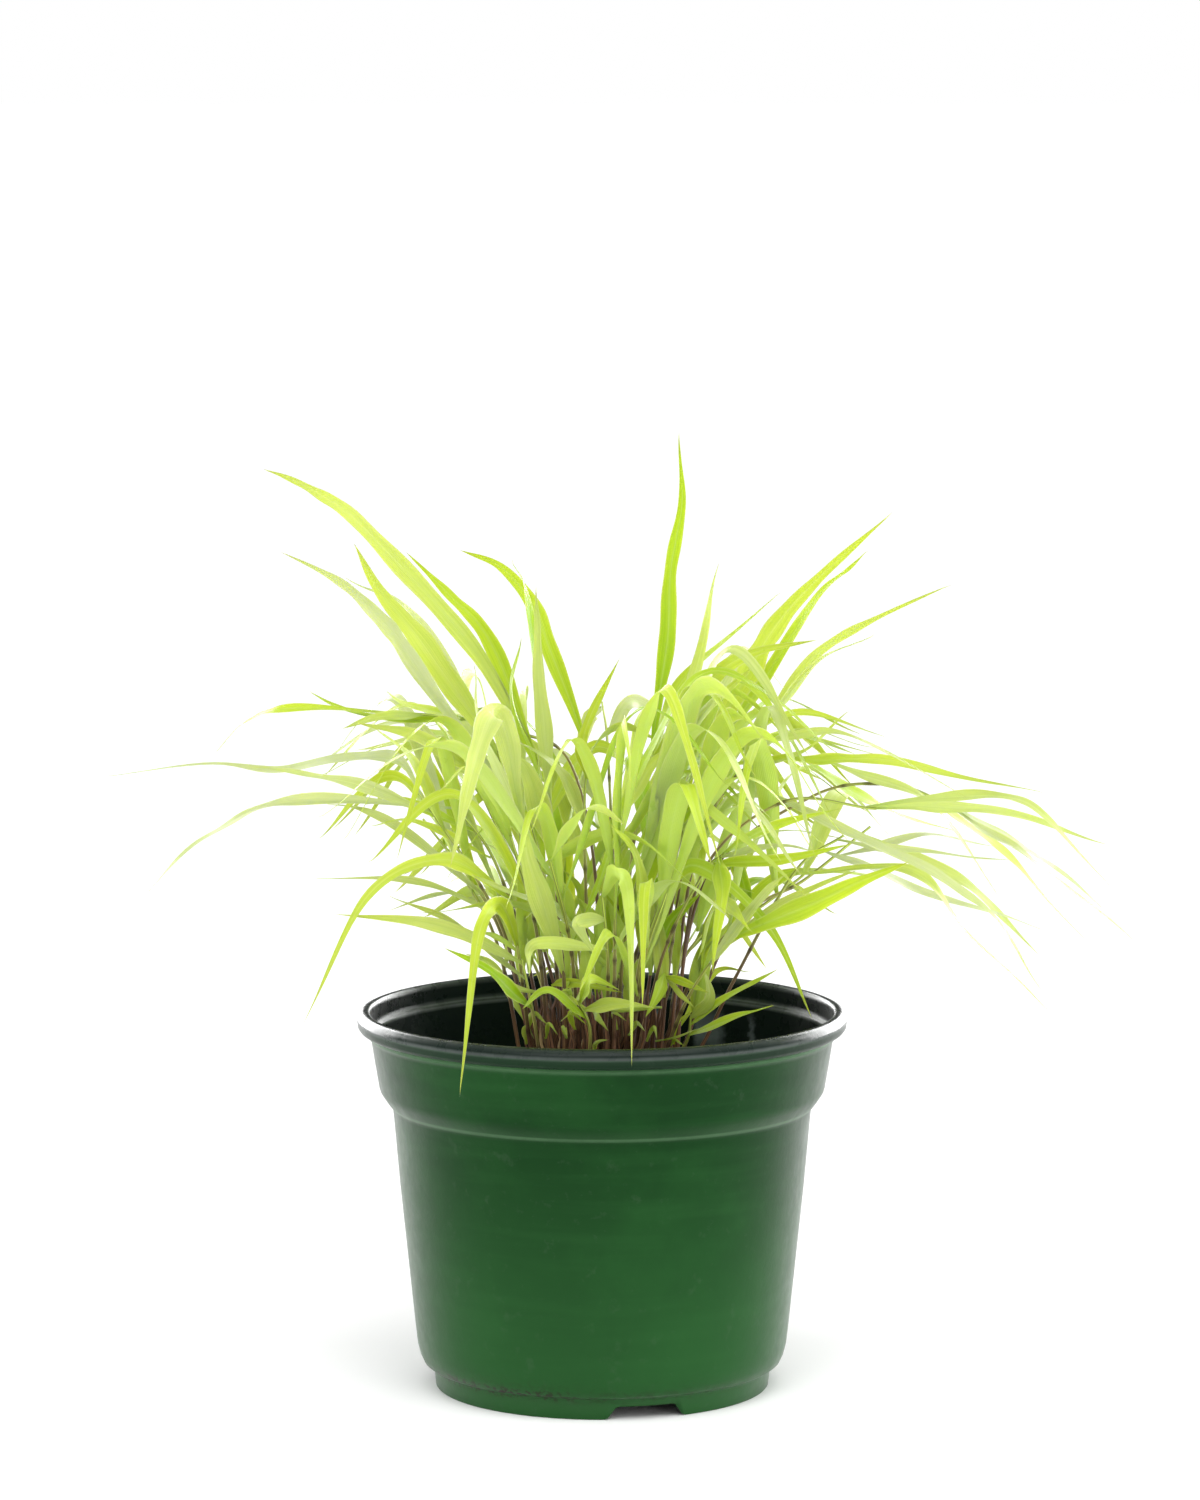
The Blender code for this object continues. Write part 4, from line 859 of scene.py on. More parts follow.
def makeCulmMaterial(s):
    material, tree, shader = newMaterial("culm")
    share = attribute(tree, "share")
    colour = ramp(tree, share, (0.0, s["foot"]), (0.40, s["purple"]), (0.66, s["olive"]), (0.92, s["sheath"]))
    highUp = ramp(tree, share, (0.40, 0.04), (0.90, 0.75))
    colour = mixColour(tree, times(tree, attribute(tree, "sheath"), highUp), colour, s["sheath"])
    colour = mixColour(tree, attribute(tree, "joint"), colour, s["joint"])
    around = attribute(tree, "around")
    fibre = useGroup(tree, fibreLines, Across=around, Along=share, Lines=s["fibres"], Offset=s["fibreOffset"])
    light = (2.1, 2.2, 2.2)
    shade = ramp(tree, fibre["Streak"], (0.3, (0.5, 0.5, 0.5)), (0.52, (1.0, 1.0, 1.0)), (0.72, light))
    feedAll(tree, shader, {
        "Base Color": mixColour(tree, 1.0, colour, shade, "MULTIPLY"), "Roughness": s["roughness"],
        "Normal": bump(tree, fibre["Streak"], s["fibreDepth"]),
    })
    return material


leafMaterial = makeLeafMaterial(leafLook)
culmMaterial = makeCulmMaterial(culmLook)


# Geometry Nodes: a culm's line becomes a round stalk, joined to the blades

def storeNumber(tree, geometry, name, value):
    inputs = {"Geometry": geometry, "Name": name, "Value": value}
    return addNode(tree, "GeometryNodeStoreNamedAttribute", inputs, data_type="FLOAT", domain="POINT")


def ringProfile(tree, sides):  # a circle that knows how far round each point is
    ring = addNode(tree, "GeometryNodeCurvePrimitiveCircle", {"Resolution": sides, "Radius": 1.0})
    return storeNumber(tree, ring, "around", addNode(tree, "GeometryNodeSplineParameter"))


def makeCulmTree():
    takes = {"Geometry": "Geometry", "Stalk Sides": 9, "Stalk Material": "Material"}
    tree, given = newTree("culmStalk", "GeometryNodeTree", takes, {"Geometry": "Geometry"})
    isLine = addNode(tree, "GeometryNodeInputNamedAttribute", {"Name": "culmLine"}, data_type="BOOLEAN")
    line = addNode(tree, "GeometryNodeMeshToCurve", {"Mesh": given["Geometry"], "Selection": isLine})
    thick = addNode(tree, "GeometryNodeInputNamedAttribute", {"Name": "thick"}, data_type="FLOAT")
    profile = ringProfile(tree, given["Stalk Sides"])
    inputs = {"Curve": line, "Profile Curve": profile, "Scale": thick, "Fill Caps": True}
    stalk = addNode(tree, "GeometryNodeCurveToMesh", inputs)
    smooth = addNode(tree, "GeometryNodeSetShadeSmooth", {"Geometry": stalk})
    inputs = {"Geometry": smooth, "Material": given["Stalk Material"]}
    dressed = addNode(tree, "GeometryNodeSetMaterial", inputs)
    inputs = {"Geometry": given["Geometry"], "Selection": isLine}
    blades = addNode(tree, "GeometryNodeDeleteGeometry", inputs, domain="EDGE")
    both = addNode(tree, "GeometryNodeJoinGeometry", {0: dressed})
    feed(tree, both.inputs[0], blades)
    whole = addNode(tree, "GeometryNodeRealizeInstances", {0: both})
    addNode(tree, "NodeGroupOutput", {"Geometry": whole})
    return tree


culmTree = makeCulmTree()


# Blades: closed and thin, with a gutter, a soft wave and a pointed tip

bladeShape = {
    "columns": 9, "rows": 40, "thickness": 0.26, "tipThinner": 0.6, "ribThicker": 0.8, "ribWidth": 0.12,
    "softShare": 0.05, "softEnd": 0.9, "footBlend": 0.18, "uneven": 0.5, "unevenLift": 0.1,
    "gutterFoot": 0.34, "gutterTip": 0.12, "gutterChange": 1.6, "gutterPower": 1.5, "gutterDrop": 0.45,
    "wave": 0.55, "wavesPer100": 3.4, "wiggle": 0.45, "wiggles": 4.0, "sway": 0.55, "sways": 3.3,
    "swell": 0.07, "swells": (9.0, 5.3), "turn": 0.16, "turns": 3.1,
}
# blades whose underside shows; its colour also stands in for a painted sheen
shownUndersides = {("stem_middle_right", 2), ("stem_front_hanging", 0), ("stem_front_drooping", 0)}


def softWidth(s, width, share):  # the solid blade's rule with its corner rounded
    if share >= s["softEnd"]:
        return bladeWidth(width, share)
    before, after = max(0.0, share - s["softShare"]), min(1.0, share + s["softShare"])
    return (bladeWidth(width, before) + 2 * bladeWidth(width, share) + bladeWidth(width, after)) / 4


def bladeLayers(mesh):
    return {
        "uv": mesh.loops.layers.uv.new("bladeUv"), "under": mesh.faces.layers.float.new("under"),
        "tint": mesh.faces.layers.float.new("tint"),
    }


def bladeRings(mesh, s, turns, shape, upperFirst, draw):  # the upper and the lower side's rows, and the tip
    facing, width, roll, twist = shape
    rows, columns = s["rows"], s["columns"]
    points = smoothCurve(turns, rows)
    ways, sideways = bladeFrames(points, facing, roll, twist)
    phase = draw.uniform(0, math.tau)  # each wave starts at its own multiple of it
    uneven = draw.uniform(-s["uneven"], s["uneven"]) * s["unevenLift"]
    length = sum((points[i + 1] - points[i]).length for i in range(rows))
    waves = s["wavesPer100"] * length / 100.0
    upper, lower = [], []
    for row in range(rows):
        share = row / rows
        grown = min(1.0, share / s["footBlend"])
        turn = s["turn"] * grown * math.sin(phase * 1.7 + share * waves * s["turns"])
        side = Matrix.Rotation(turn, 3, ways[row]) @ sideways[row]
        normal = side.cross(ways[row]) * (1 if upperFirst else -1)
        often, seldom = s["swells"]
        swell = math.sin(phase + share * waves * often) + math.sin(phase * 3 + share * waves * seldom)
        wide = softWidth(s, width, share) * (1 + s["swell"] * grown * swell)
        change = min(1.0, share * s["gutterChange"])
        gutter = wide * (s["gutterFoot"] + (s["gutterTip"] - s["gutterFoot"]) * change) * 0.5
        middle = points[row] + normal * s["wiggle"] * grown * math.sin(phase + share * waves * s["wiggles"])
        middle += side * s["sway"] * grown * (1 - share) * math.sin(phase * 2.3 + share * waves * s["sways"])
        half = s["thickness"] / 2 * (1 - s["tipThinner"] * share)
        ringUp, ringDown = [], []
        for column in range(columns):
            u = 2 * column / (columns - 1) - 1
            lift = gutter * (abs(u) ** s["gutterPower"] - s["gutterDrop"])
            ripple = s["wave"] * grown * (1 - share) * abs(u) ** 2
            ripple *= math.sin(phase * 2 + u + share * waves * math.tau)
            centre = middle + side * (u * wide / 2) + normal * (lift + ripple + uneven * u * wide * grown)
            if column in (0, columns - 1):
                ringUp.append(mesh.verts.new(centre))
                ringDown.append(ringUp[-1])
            else:
                thick = half * (1 + s["ribThicker"] * math.exp(-(u / s["ribWidth"]) ** 2))
                ringUp.append(mesh.verts.new(centre + normal * half))
                ringDown.append(mesh.verts.new(centre - normal * thick))
        upper.append(ringUp)
        lower.append(ringDown)
    return upper, lower, mesh.verts.new(points[-1])


def addBlade(mesh, layers, s, turns, shape, upperFirst, tint, draw):
    rows, columns = s["rows"], s["columns"]
    upper, lower, tip = bladeRings(mesh, s, turns, shape, upperFirst, draw)

    def face(corners, places, isUnder):
        order = 1 if upperFirst != isUnder else -1
        made = mesh.faces.new(corners[::order])
        made.smooth = True
        made[layers["under"]] = 1.0 if isUnder else 0.0
        made[layers["tint"]] = tint
        for loop, (column, row) in zip(made.loops, places[::order]):
            loop[layers["uv"]].uv = (column / (columns - 1), row / rows)

    for rings, isUnder in ((upper, False), (lower, True)):
        for row in range(rows - 1):
            for column in range(columns - 1):
                places = ((column, row), (column + 1, row), (column + 1, row + 1), (column, row + 1))
                face([rings[up][across] for across, up in places], places, isUnder)
        for column in range(columns - 1):
            places = ((column, rows - 1), (column + 1, rows - 1), (column, rows))
            face((rings[-1][column], rings[-1][column + 1], tip), places, isUnder)
    foot = upper[0] + lower[0][-2:0:-1]
    cap = mesh.faces.new(foot[::-1] if upperFirst else foot)
    cap[layers["tint"]] = tint
    for here, above in zip(upper[:-1], upper[1:]):
        for column in (0, columns - 1):
            mesh.edges.get((here[column], above[column])).smooth = False


culmShape = {
    "sides": 9, "steps": 90, "slim": 0.78, "swell": 0.30, "sheathSwell": 0.16, "sheathLength": 30.0,
    "sheathThinning": 0.35, "footSwell": 0.35, "footShare": 3.5, "jointLength": 1.1, "jointDark": 0.8,
}


def culmLayers(mesh):
    layers = {name: mesh.verts.layers.float.new(name) for name in ("thick", "share", "sheath", "joint")}
    layers["culmLine"] = mesh.edges.layers.bool.new("culmLine")
    return layers


def addCulm(mesh, layers, s, foot, knots, shares):  # a line of edges, which the node tree makes round
    low, line = culmKnots(foot, knots)
    solid = culmLine(foot, knots)
    fine = smoothCurve(line, s["steps"], low)
    points = [low, low.lerp(fine[0], 0.5)] + fine
    walk = [0.0]
    for before, after in zip(points, points[1:]):
        walk.append(walk[-1] + (after - before).length)
    ends = []  # how far up each blade leaves the culm
    for share in sorted(shares):
        place = alongLine(solid, share)
        ends.append(walk[min(range(len(points)), key=lambda i: (points[i] - place).length)])
    fall = growth["culmRadius"] - growth["culmTipRadius"]
    previous = None
    for point, far in zip(points, walk):
        share = far / walk[-1]
        footSwell = s["footSwell"] * max(0.0, 1 - share * s["footShare"])
        radius = (growth["culmRadius"] - fall * share) * (s["slim"] + footSwell)
        cover, joint = 0.0, 0.0
        for end in ends:
            if 0 <= end - far <= s["sheathLength"]:
                cover = max(cover, 1.0 - s["sheathThinning"] * (end - far) / s["sheathLength"])
            joint = max(joint, math.exp(-((end - s["sheathLength"] - far) / s["jointLength"]) ** 2))
        vert = mesh.verts.new(point)
        vert[layers["thick"]] = radius * (1 + s["sheathSwell"] * cover + s["swell"] * joint) * mm
        vert[layers["share"]] = share
        vert[layers["sheath"]] = cover
        vert[layers["joint"]] = joint * s["jointDark"]
        if previous is not None:
            mesh.edges.new((previous, vert))[layers["culmLine"]] = True
        previous = vert


tintRule = {
    "middle": 0.27, "stemSpread": 0.12, "bladeSpread": 0.38, "height": 190.0, "heightFade": 600.0,
    "reachFade": 210.0, "samples": 12, "seed": 5,
}


def isUpperFirst(points, shape):  # whether the blade's own normal turns to the sky, or to the eye
    facing, width, roll, twist = shape
    ways, sideways = bladeFrames(points, facing, roll, twist)
    mean = sum((side.cross(way) for side, way in zip(sideways, ways)), Vector())
    return mean.z > 0 if abs(facing.z) > 0.5 else mean.y < 0


def makeStem(plant, draw, s):
    name, foot, knots, blades = plant
    mesh = bmesh.new()
    layers, stalkLayers = bladeLayers(mesh), culmLayers(mesh)
    stemTint = draw.uniform(-s["stemSpread"], s["stemSpread"])
    for count, (share, shape, turns) in enumerate(blades):
        points = smoothCurve(turns, s["samples"])
        upperFirst = isUpperFirst(points, shape) != ((name, count) in shownUndersides)
        height = (points[-1].z + points[0].z) / 2
        reach = math.hypot((points[-1].x + points[0].x) / 2, (points[-1].y + points[0].y) / 2)
        tint = s["middle"] + stemTint + draw.uniform(-s["bladeSpread"], s["bladeSpread"])
        tint = tint + (height - s["height"]) / s["heightFade"] + reach / s["reachFade"]
        addBlade(mesh, layers, bladeShape, turns, shape, upperFirst, min(1.0, max(0.0, tint)), draw)
    addCulm(mesh, stalkLayers, culmShape, foot, knots, [share for share, shape, turns in blades])
    bmesh.ops.scale(mesh, vec=(mm, mm, mm), verts=mesh.verts)
    piece = meshObject(name + "Grown", mesh, leafMaterial)
    stalk = piece.modifiers.new("stalk", "NODES")
    stalk.node_group = culmTree
    setModifier(stalk, StalkSides=culmShape["sides"], StalkMaterial=culmMaterial)
    bakeModifiers(piece)
    return piece


# Small basal leaves in the crown: root, bend and tip as seen from the eye (x, z, depth), width, and tint

basalLeaves = (
    ((-17, 136, -22), (-8, 137, -30), (7, 133.5, -36), 4.2, 0.45),
    ((20, 128.5, -24), (9, 128, -34), (-2, 128.5, -38), 4.3, 0.30),
    ((-12, 128, -27), (-11, 134, -32), (-16, 132.5, -35), 2.8, 0.30),
    ((-13, 134, -30), (-8, 130, -33), (-3.5, 127, -34), 1.5, 0.55),
    ((-5.5, 136, -28), (-9.5, 128, -33), (-14.3, 123.6, -36), 1.7, 0.75),
    ((-9, 121, -28), (-10.5, 127, -32), (-5, 122.5, -35), 2.4, 0.35),
    ((-3, 127, -27), (-1, 124.5, -32), (2.2, 120.4, -34), 2.6, 0.40),
    ((9, 119, -27), (11.5, 123.5, -31), (14.6, 120.3, -33), 2.2, 0.75),
    ((-25, 120, -10), (-23, 126, -16), (-18.5, 122.8, -20), 2.6, 0.35),
    ((-25.5, 116, -10), (-25.5, 121.5, -14), (-23.2, 117.5, -16), 2.2, 0.85),
    ((-8, 137, -24), (-12, 135.5, -30), (-11.2, 128.6, -33), 2.6, 0.35),
    ((-3, 113, -27), (-1.5, 116.5, -31), (2.4, 117.6, -33), 2.0, 0.40),
    ((-41, 146, -24), (-31, 136, -28), (-18, 133, -30), 3.6, 0.60),
    ((-40, 154, -16), (-33, 151, -20), (-26.5, 146, -22), 2.8, 0.30),
    ((21, 140, -20), (18.5, 133, -28), (14.5, 125, -34), 5.2, 0.30),
    ((22, 138, -18), (26, 133.5, -26), (31.5, 128, -30), 3.0, 0.60),
    ((21, 139, -16), (28, 137, -24), (36, 133.5, -28), 3.6, 0.40),
    ((18, 117, -20), (26, 119, -26), (33, 121.8, -30), 1.0, 0.80),
    ((24, 116, -16), (26, 124, -20), (31, 127.6, -24), 1.1, 0.50),
    ((23, 115.5, -18), (24.5, 117.5, -22), (27.5, 115.4, -24), 2.2, 0.35),
    ((-12, 118, -27), (-13, 122, -31), (-11.5, 118.2, -33), 2.0, 0.35),
    ((5, 121, -27), (4, 126.5, -31), (8.5, 124, -33), 2.0, 0.45),
    ((-19, 118, -20), (-18, 123, -25), (-15, 119, -28), 1.8, 0.30),
    ((15, 117, -24), (17.5, 122, -28), (18.5, 117.5, -30), 1.8, 0.45),
    ((-26, 124, 14), (-36, 142, 24), (-46, 147, 32), 4.2, 0.45),
    ((10, 124, 24), (14, 146, 36), (24, 148, 46), 4.0, 0.50),
    ((26, 122, 12), (38, 140, 20), (50, 141, 26), 3.8, 0.45),
    ((-8, 124, 26), (-12, 143, 38), (-24, 139, 48), 3.6, 0.40),
)
innerLeafRule = {  # young leaves that fill the inner crown
    "count": 34, "across": (-30, 34), "height": (124, 158), "depth": (-24, 12), "lean": 9, "fan": 0.22,
    "rise": (18, 36), "bend": (0.45, 0.62), "tipLean": 1.3, "forward": (3, 8), "width": (3.6, 7.0),
    "tint": (0.05, 0.65),
}
basalShape = {"seed": 21, "facing": (0.0, 1.0, 0.3), "roll": 0.3, "twist": 0.5, "upperShare": 0.8}


def innerLeaves(draw, s):
    leaves = []
    for count in range(s["count"]):
        x, z, depth = draw.uniform(*s["across"]), draw.uniform(*s["height"]), draw.uniform(*s["depth"])
        lean = draw.uniform(-s["lean"], s["lean"]) + s["fan"] * x
        rise = draw.uniform(*s["rise"])
        bend = (x + s["bend"][0] * lean, z + s["bend"][1] * rise, depth - s["forward"][0])
        tip = (x + s["tipLean"] * lean, z + rise, depth - s["forward"][1])
        leaves.append(((x, z, depth), bend, tip, draw.uniform(*s["width"]), draw.uniform(*s["tint"])))
    return leaves


def makeBasalLeaves(s):
    draw = random.Random(s["seed"])
    mesh = bmesh.new()
    layers = bladeLayers(mesh)
    for root, bend, tip, width, tint in basalLeaves + tuple(innerLeaves(draw, innerLeafRule)):
        turns = [setBack(place) for place in (root, bend, tip)]
        roll, twist = draw.uniform(-s["roll"], s["roll"]), draw.uniform(-s["twist"], s["twist"])
        shape = (Vector(s["facing"]), width, roll, twist)
        addBlade(mesh, layers, bladeShape, turns, shape, draw.random() < s["upperShare"], tint, draw)
    bmesh.ops.scale(mesh, vec=(mm, mm, mm), verts=mesh.verts)
    return meshObject("basalLeaves", mesh, leafMaterial)


# Dry sheaths and short stalks that crowd the crown, scattered by Geometry Nodes

sheathLook = {
    "dark": (0.075, 0.036, 0.019), "brown": (0.190, 0.092, 0.046), "straw": (0.420, 0.310, 0.160),
    "roughness": 0.7, "fibres": 7.0, "fibreDepth": 0.0002,
}
crownShape = {
    "centre": (-2.0, -3.0), "radius": 21.0, "sides": 24, "height": 95.5, "count": 300, "shortest": 18.0,
    "longest": 42.0, "thick": 0.95, "lean": 0.22, "seed": 11, "stalkPoints": 9, "stalkSides": 6, "bow": 1.6,
    "wanderScale": 55.0, "wander": (0.010, 0.010, 0.0), "foot": 1.15, "taper": 2.5,
}


def makeSheathMaterial(s):
    material, tree, shader = newMaterial("drySheath")
    along, pick, around = (attribute(tree, name) for name in ("rise", "pick", "around"))
    colour = ramp(tree, pick, (0.0, s["dark"]), (0.55, s["brown"]), (0.86, s["brown"]), (1.0, s["straw"]))
    fibre = useGroup(tree, fibreLines, Across=around, Along=along, Lines=s["fibres"], Offset=pick)
    light = (2.2, 2.2, 2.1)
    shade = ramp(tree, fibre["Streak"], (0.32, (0.35, 0.33, 0.32)), (0.5, (0.9, 0.9, 0.9)), (0.7, light))
    feedAll(tree, shader, {
        "Base Color": mixColour(tree, 1.0, colour, shade, "MULTIPLY"), "Roughness": s["roughness"],
        "Normal": bump(tree, fibre["Streak"], s["fibreDepth"]),
    })
    return material


def vectorNode(tree, operation, *values):
    return addNode(tree, "ShaderNodeVectorMath", dict(enumerate(values)), operation=operation).outputs[0]


def makeCrownTree(s):
    tree, given = newTree("crownStalks", "GeometryNodeTree", {
        "Geometry": "Geometry", "Density": 100.0, "Shortest": 0.014, "Longest": 0.034, "Thickness": 0.0008,
        "Lean": 0.3, "Seed": 1, "Sheath Material": "Material"}, {"Geometry": "Geometry"})
    inputs = {"Mesh": given["Geometry"], "Density": given["Density"], "Seed": given["Seed"]}
    points = addNode(tree, "GeometryNodeDistributePointsOnFaces", inputs)
    pick = addNode(tree, "FunctionNodeRandomValue", {"Seed": given["Seed"]}, data_type="FLOAT").outputs[1]
    picked = storeNumber(tree, points, "pick", pick)
    inputs = {2: given["Shortest"], 3: given["Longest"]}
    tall = addNode(tree, "FunctionNodeRandomValue", inputs, data_type="FLOAT").outputs[1]
    size = addNode(tree, "ShaderNodeCombineXYZ", {0: 1.0, 1: 1.0, 2: tall})
    inputs = {"Start": (0.0, 0.0, 0.0), "End": (0.0, 0.0, 1.0)}
    upright = addNode(tree, "GeometryNodeCurvePrimitiveLine", inputs)
    stalk = addNode(tree, "GeometryNodeResampleCurve", {"Curve": upright, "Count": s["stalkPoints"]})
    inputs = {"Points": picked, "Instance": stalk, "Scale": size}
    placed = addNode(tree, "GeometryNodeInstanceOnPoints", inputs)
    real = addNode(tree, "GeometryNodeRealizeInstances", {0: placed})
    along = addNode(tree, "GeometryNodeSplineParameter").outputs["Factor"]
    risen = storeNumber(tree, real, "rise", along)
    where = addNode(tree, "GeometryNodeInputPosition")
    bow = times(tree, mathNode(tree, "POWER", along, s["bow"]), given["Lean"])
    flat = vectorNode(tree, "MULTIPLY", where, (1.0, 1.0, 0.0))
    inputs = {0: flat, "Scale": bow}
    outward = addNode(tree, "ShaderNodeVectorMath", inputs, operation="SCALE")
    cloud = addNode(tree, "ShaderNodeTexNoise", {"Vector": where, "Scale": s["wanderScale"]})
    centred = vectorNode(tree, "SUBTRACT", cloud.outputs["Color"], (0.5, 0.5, 0.5))
    wander = vectorNode(tree, "MULTIPLY", centred, s["wander"])
    shift = vectorNode(tree, "ADD", outward, wander)
    bent = addNode(tree, "GeometryNodeSetPosition", {"Geometry": risen, "Offset": shift})
    rise = addNode(tree, "GeometryNodeInputNamedAttribute", {"Name": "rise"}, data_type="FLOAT")
    taper = mathNode(tree, "SUBTRACT", s["foot"], mathNode(tree, "POWER", rise, s["taper"]))
    inputs = {"Curve": bent, "Profile Curve": ringProfile(tree, s["stalkSides"]),
              "Scale": times(tree, taper, given["Thickness"]), "Fill Caps": True}
    body = addNode(tree, "GeometryNodeCurveToMesh", inputs)
    smooth = addNode(tree, "GeometryNodeSetShadeSmooth", {"Geometry": body})
    whole = addNode(tree, "GeometryNodeRealizeInstances", {0: smooth})
    inputs = {"Geometry": whole, "Material": given["Sheath Material"]}
    dressed = addNode(tree, "GeometryNodeSetMaterial", inputs)
    addNode(tree, "NodeGroupOutput", {"Geometry": dressed})
    return tree


def makeCrown(s):
    mesh = bmesh.new()
    middleX, middleY = s["centre"]
    rim = [Vector((middleX + x, middleY + y, s["height"])) * mm for x, y in circle(s["radius"], s["sides"])]
    mesh.faces.new([mesh.verts.new(point) for point in rim])
    piece = meshObject("crownSheaths", mesh)
    stalks = piece.modifiers.new("stalks", "NODES")
    stalks.node_group = makeCrownTree(s)
    area = math.pi * s["radius"] * s["radius"] * mm * mm
    setModifier(stalks, Density=s["count"] / area, Shortest=s["shortest"] * mm, Longest=s["longest"] * mm,
                Thickness=s["thick"] * mm, Lean=s["lean"], Seed=s["seed"],
                SheathMaterial=makeSheathMaterial(sheathLook))
    bakeModifiers(piece)
    return piece


for piece in (makeBasalLeaves(basalShape), makeCrown(crownShape)):
    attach(piece, "root")
print("crown made")


stemDraw = random.Random(tintRule["seed"])
faceCount = 0
for plant in plants:
    piece = makeStem(plant, stemDraw, tintRule)
    faceCount += sum(len(face.vertices) - 2 for face in piece.data.polygons)
    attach(piece, "root")
    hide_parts(plant[0])
print("stems made,", faceCount, "triangles")


# Pot

potLook = {
    "green": (0.008, 0.052, 0.010), "pale": (0.020, 0.088, 0.022), "deep": (0.004, 0.032, 0.006),
    "black": (0.006, 0.012, 0.009), "dust": (0.10, 0.13, 0.10), "soil": (0.016, 0.011, 0.007),
    "wornGreen": (0.055, 0.125, 0.056), "wornBlack": (0.120, 0.140, 0.130), "glint": (0.330, 0.390, 0.430),
    "shine": 0.07, "insideShine": 0.05, "lipShine": 0.13, "edgeShine": 0.75, "lipEdgeShine": 0.35,
    "roughness": 0.34, "blackSmoother": -0.08, "grain": 0.00012, "streakSize": (14.0, 14.0, 170.0),
    "glintScale": 70.0, "glintBend": 0.04, "glintsFrom": 0.02,
}


def roundedProfile(s):
    lipFoot = s["height"] - s["lip"]
    collarFoot, step = s["collarFootHeight"] + s["collarRaised"], s["stepHeight"] + s["stepRaised"]
    green = [
        (s["foot"], 0.25), (s["foot"] + 0.3, 0.0), (s["foot"] + 0.55, 0.3),
        (s["foot"] + 1.15, s["footHeight"] - 1.2), (s["foot"] + 1.3, s["footHeight"] - 0.3),
        (s["foot"] + 1.75, s["footHeight"] + 0.15),
        (s["foot"] + 3.4, s["footHeight"] + 0.65), (s["foot"] + 4.6, s["footHeight"] + 1.6),
        (s["bodyFoot"] - 0.8, s["footHeight"] + 4.0), (s["bodyFoot"] + 0.1, s["bodyFootHeight"]),
        (s["bodyFoot"] + 0.6, s["bodyFootHeight"] + 4.0), (s["bodyFoot"] + 3.4, 45.0),
        (s["bodyFoot"] + 5.9, 69.0),
        (s["step"] - 0.35, step - 4.0), (s["step"], step - 0.6), (s["step"] + 0.25, step + 0.3),
        (s["step"] + 0.8, step + 0.9), (s["step"] + 1.25, step + 1.5), (s["step"] + 1.75, step + 2.1),
        (s["collarFoot"] - 1.1, collarFoot - 1.9), (s["collarFoot"] - 0.3, collarFoot - 0.6),
        (s["collarFoot"] + 0.1, collarFoot + 0.7), (s["collarTop"] - 1.0, lipFoot - 9.0),
        (s["collarTop"] - 0.1, lipFoot - 3.2), (s["collarTop"] + 0.2, lipFoot - 2.3),
        (s["collarTop"] + 0.9, lipFoot - 1.7), (s["collarTop"] + 1.1, lipFoot - 1.1),
        (s["collarTop"] + 0.95, lipFoot - 0.5), (s["collarTop"] + 1.2, lipFoot - 0.15),
        (s["rim"] - 1.9, lipFoot + 0.1), (s["rim"] - 0.9, lipFoot + 0.7), (s["rim"] - 0.3, lipFoot + 1.6),
        (s["rim"] - 0.15, lipFoot + 2.8), (s["rim"], lipFoot + 3.5),
    ]
    black = [
        (s["rim"] + 0.05, lipFoot + 4.1), (s["rim"] - 0.1, lipFoot + 4.8), (s["rim"] - 0.5, lipFoot + 5.5),
        (s["rim"] - 1.2, s["height"] - 0.5), (s["rim"] - 2.1, s["height"] - 0.1),
        (s["rim"] - 3.3, s["height"]), (s["rim"] - 3.9, s["height"] - 0.25),
        (s["rim"] - 4.3, s["height"] - 0.9), (s["rim"] - 4.4, s["height"] - 2.2),
        (s["rim"] - 4.5, lipFoot + 1.2), (s["rim"] - 4.7, lipFoot + 0.1), (s["rim"] - 5.0, lipFoot - 0.35),
        (s["collarTop"] - s["wall"] + 0.15, lipFoot - 0.75),
        (s["collarTop"] - s["wall"] - 0.1, lipFoot - 1.3),
        (s["collarTop"] - s["wall"] - 0.3, lipFoot - 2.4), (s["collarFoot"] - s["wall"], collarFoot),
        (s["collarFoot"] - 0.9 - s["wall"], collarFoot - 2.0), (s["step"] + 0.4 - s["wall"], step + 0.9),
        (s["step"] - s["wall"], step - 0.6), (s["bodyFoot"] + 0.6 - s["wall"], s["bodyFootHeight"] + 4.0),
        (s["bodyFoot"] - 2.0, s["floor"] + 2.6), (s["bodyFoot"] - 3.7, s["floor"] + 0.6),
        (s["bodyFoot"] - 5.5, s["floor"]), (s["drain"], s["floor"]), (s["drain"], s["floor"] - 1.4),
        (s["foot"] - 3.2, s["floor"] - 1.4), (s["foot"] - 2.0, s["floor"] - 2.0), (s["foot"] - 1.6, 0.5),
        (s["foot"] - 1.3, 0.05), (s["foot"] - 0.8, 0.0),
    ]
    return green, black


paintedHighlightLines = (  # radius, height, how pale, reach: painted highlights, the thin pale lines where the plastic turns
    (82.45, 125.0, 0.50, 0.6), (78.85, 120.1, 1.0, 0.70), (71.5, 96.5, 1.0, 0.75), (78.4, 127.6, 0.75, 0.6),
    (77.5, 120.9, 0.8, 0.5), (76.55, 120.0, 0.8, 0.5), (81.6, 127.4, 0.25, 0.8), (57.0, 6.2, 0.35, 0.6),
)


def streaks(tree, place, s):  # faint level streaks, as moulded plastic has
    flat = vectorNode(tree, "MULTIPLY", place, s["streakSize"])
    cloud = addNode(tree, "ShaderNodeTexNoise", {"Vector": flat, "Scale": 1.0, "Detail": 3.0})
    return ramp(tree, cloud.outputs["Fac"], (0.48, 0.0), (0.68, 1.0))


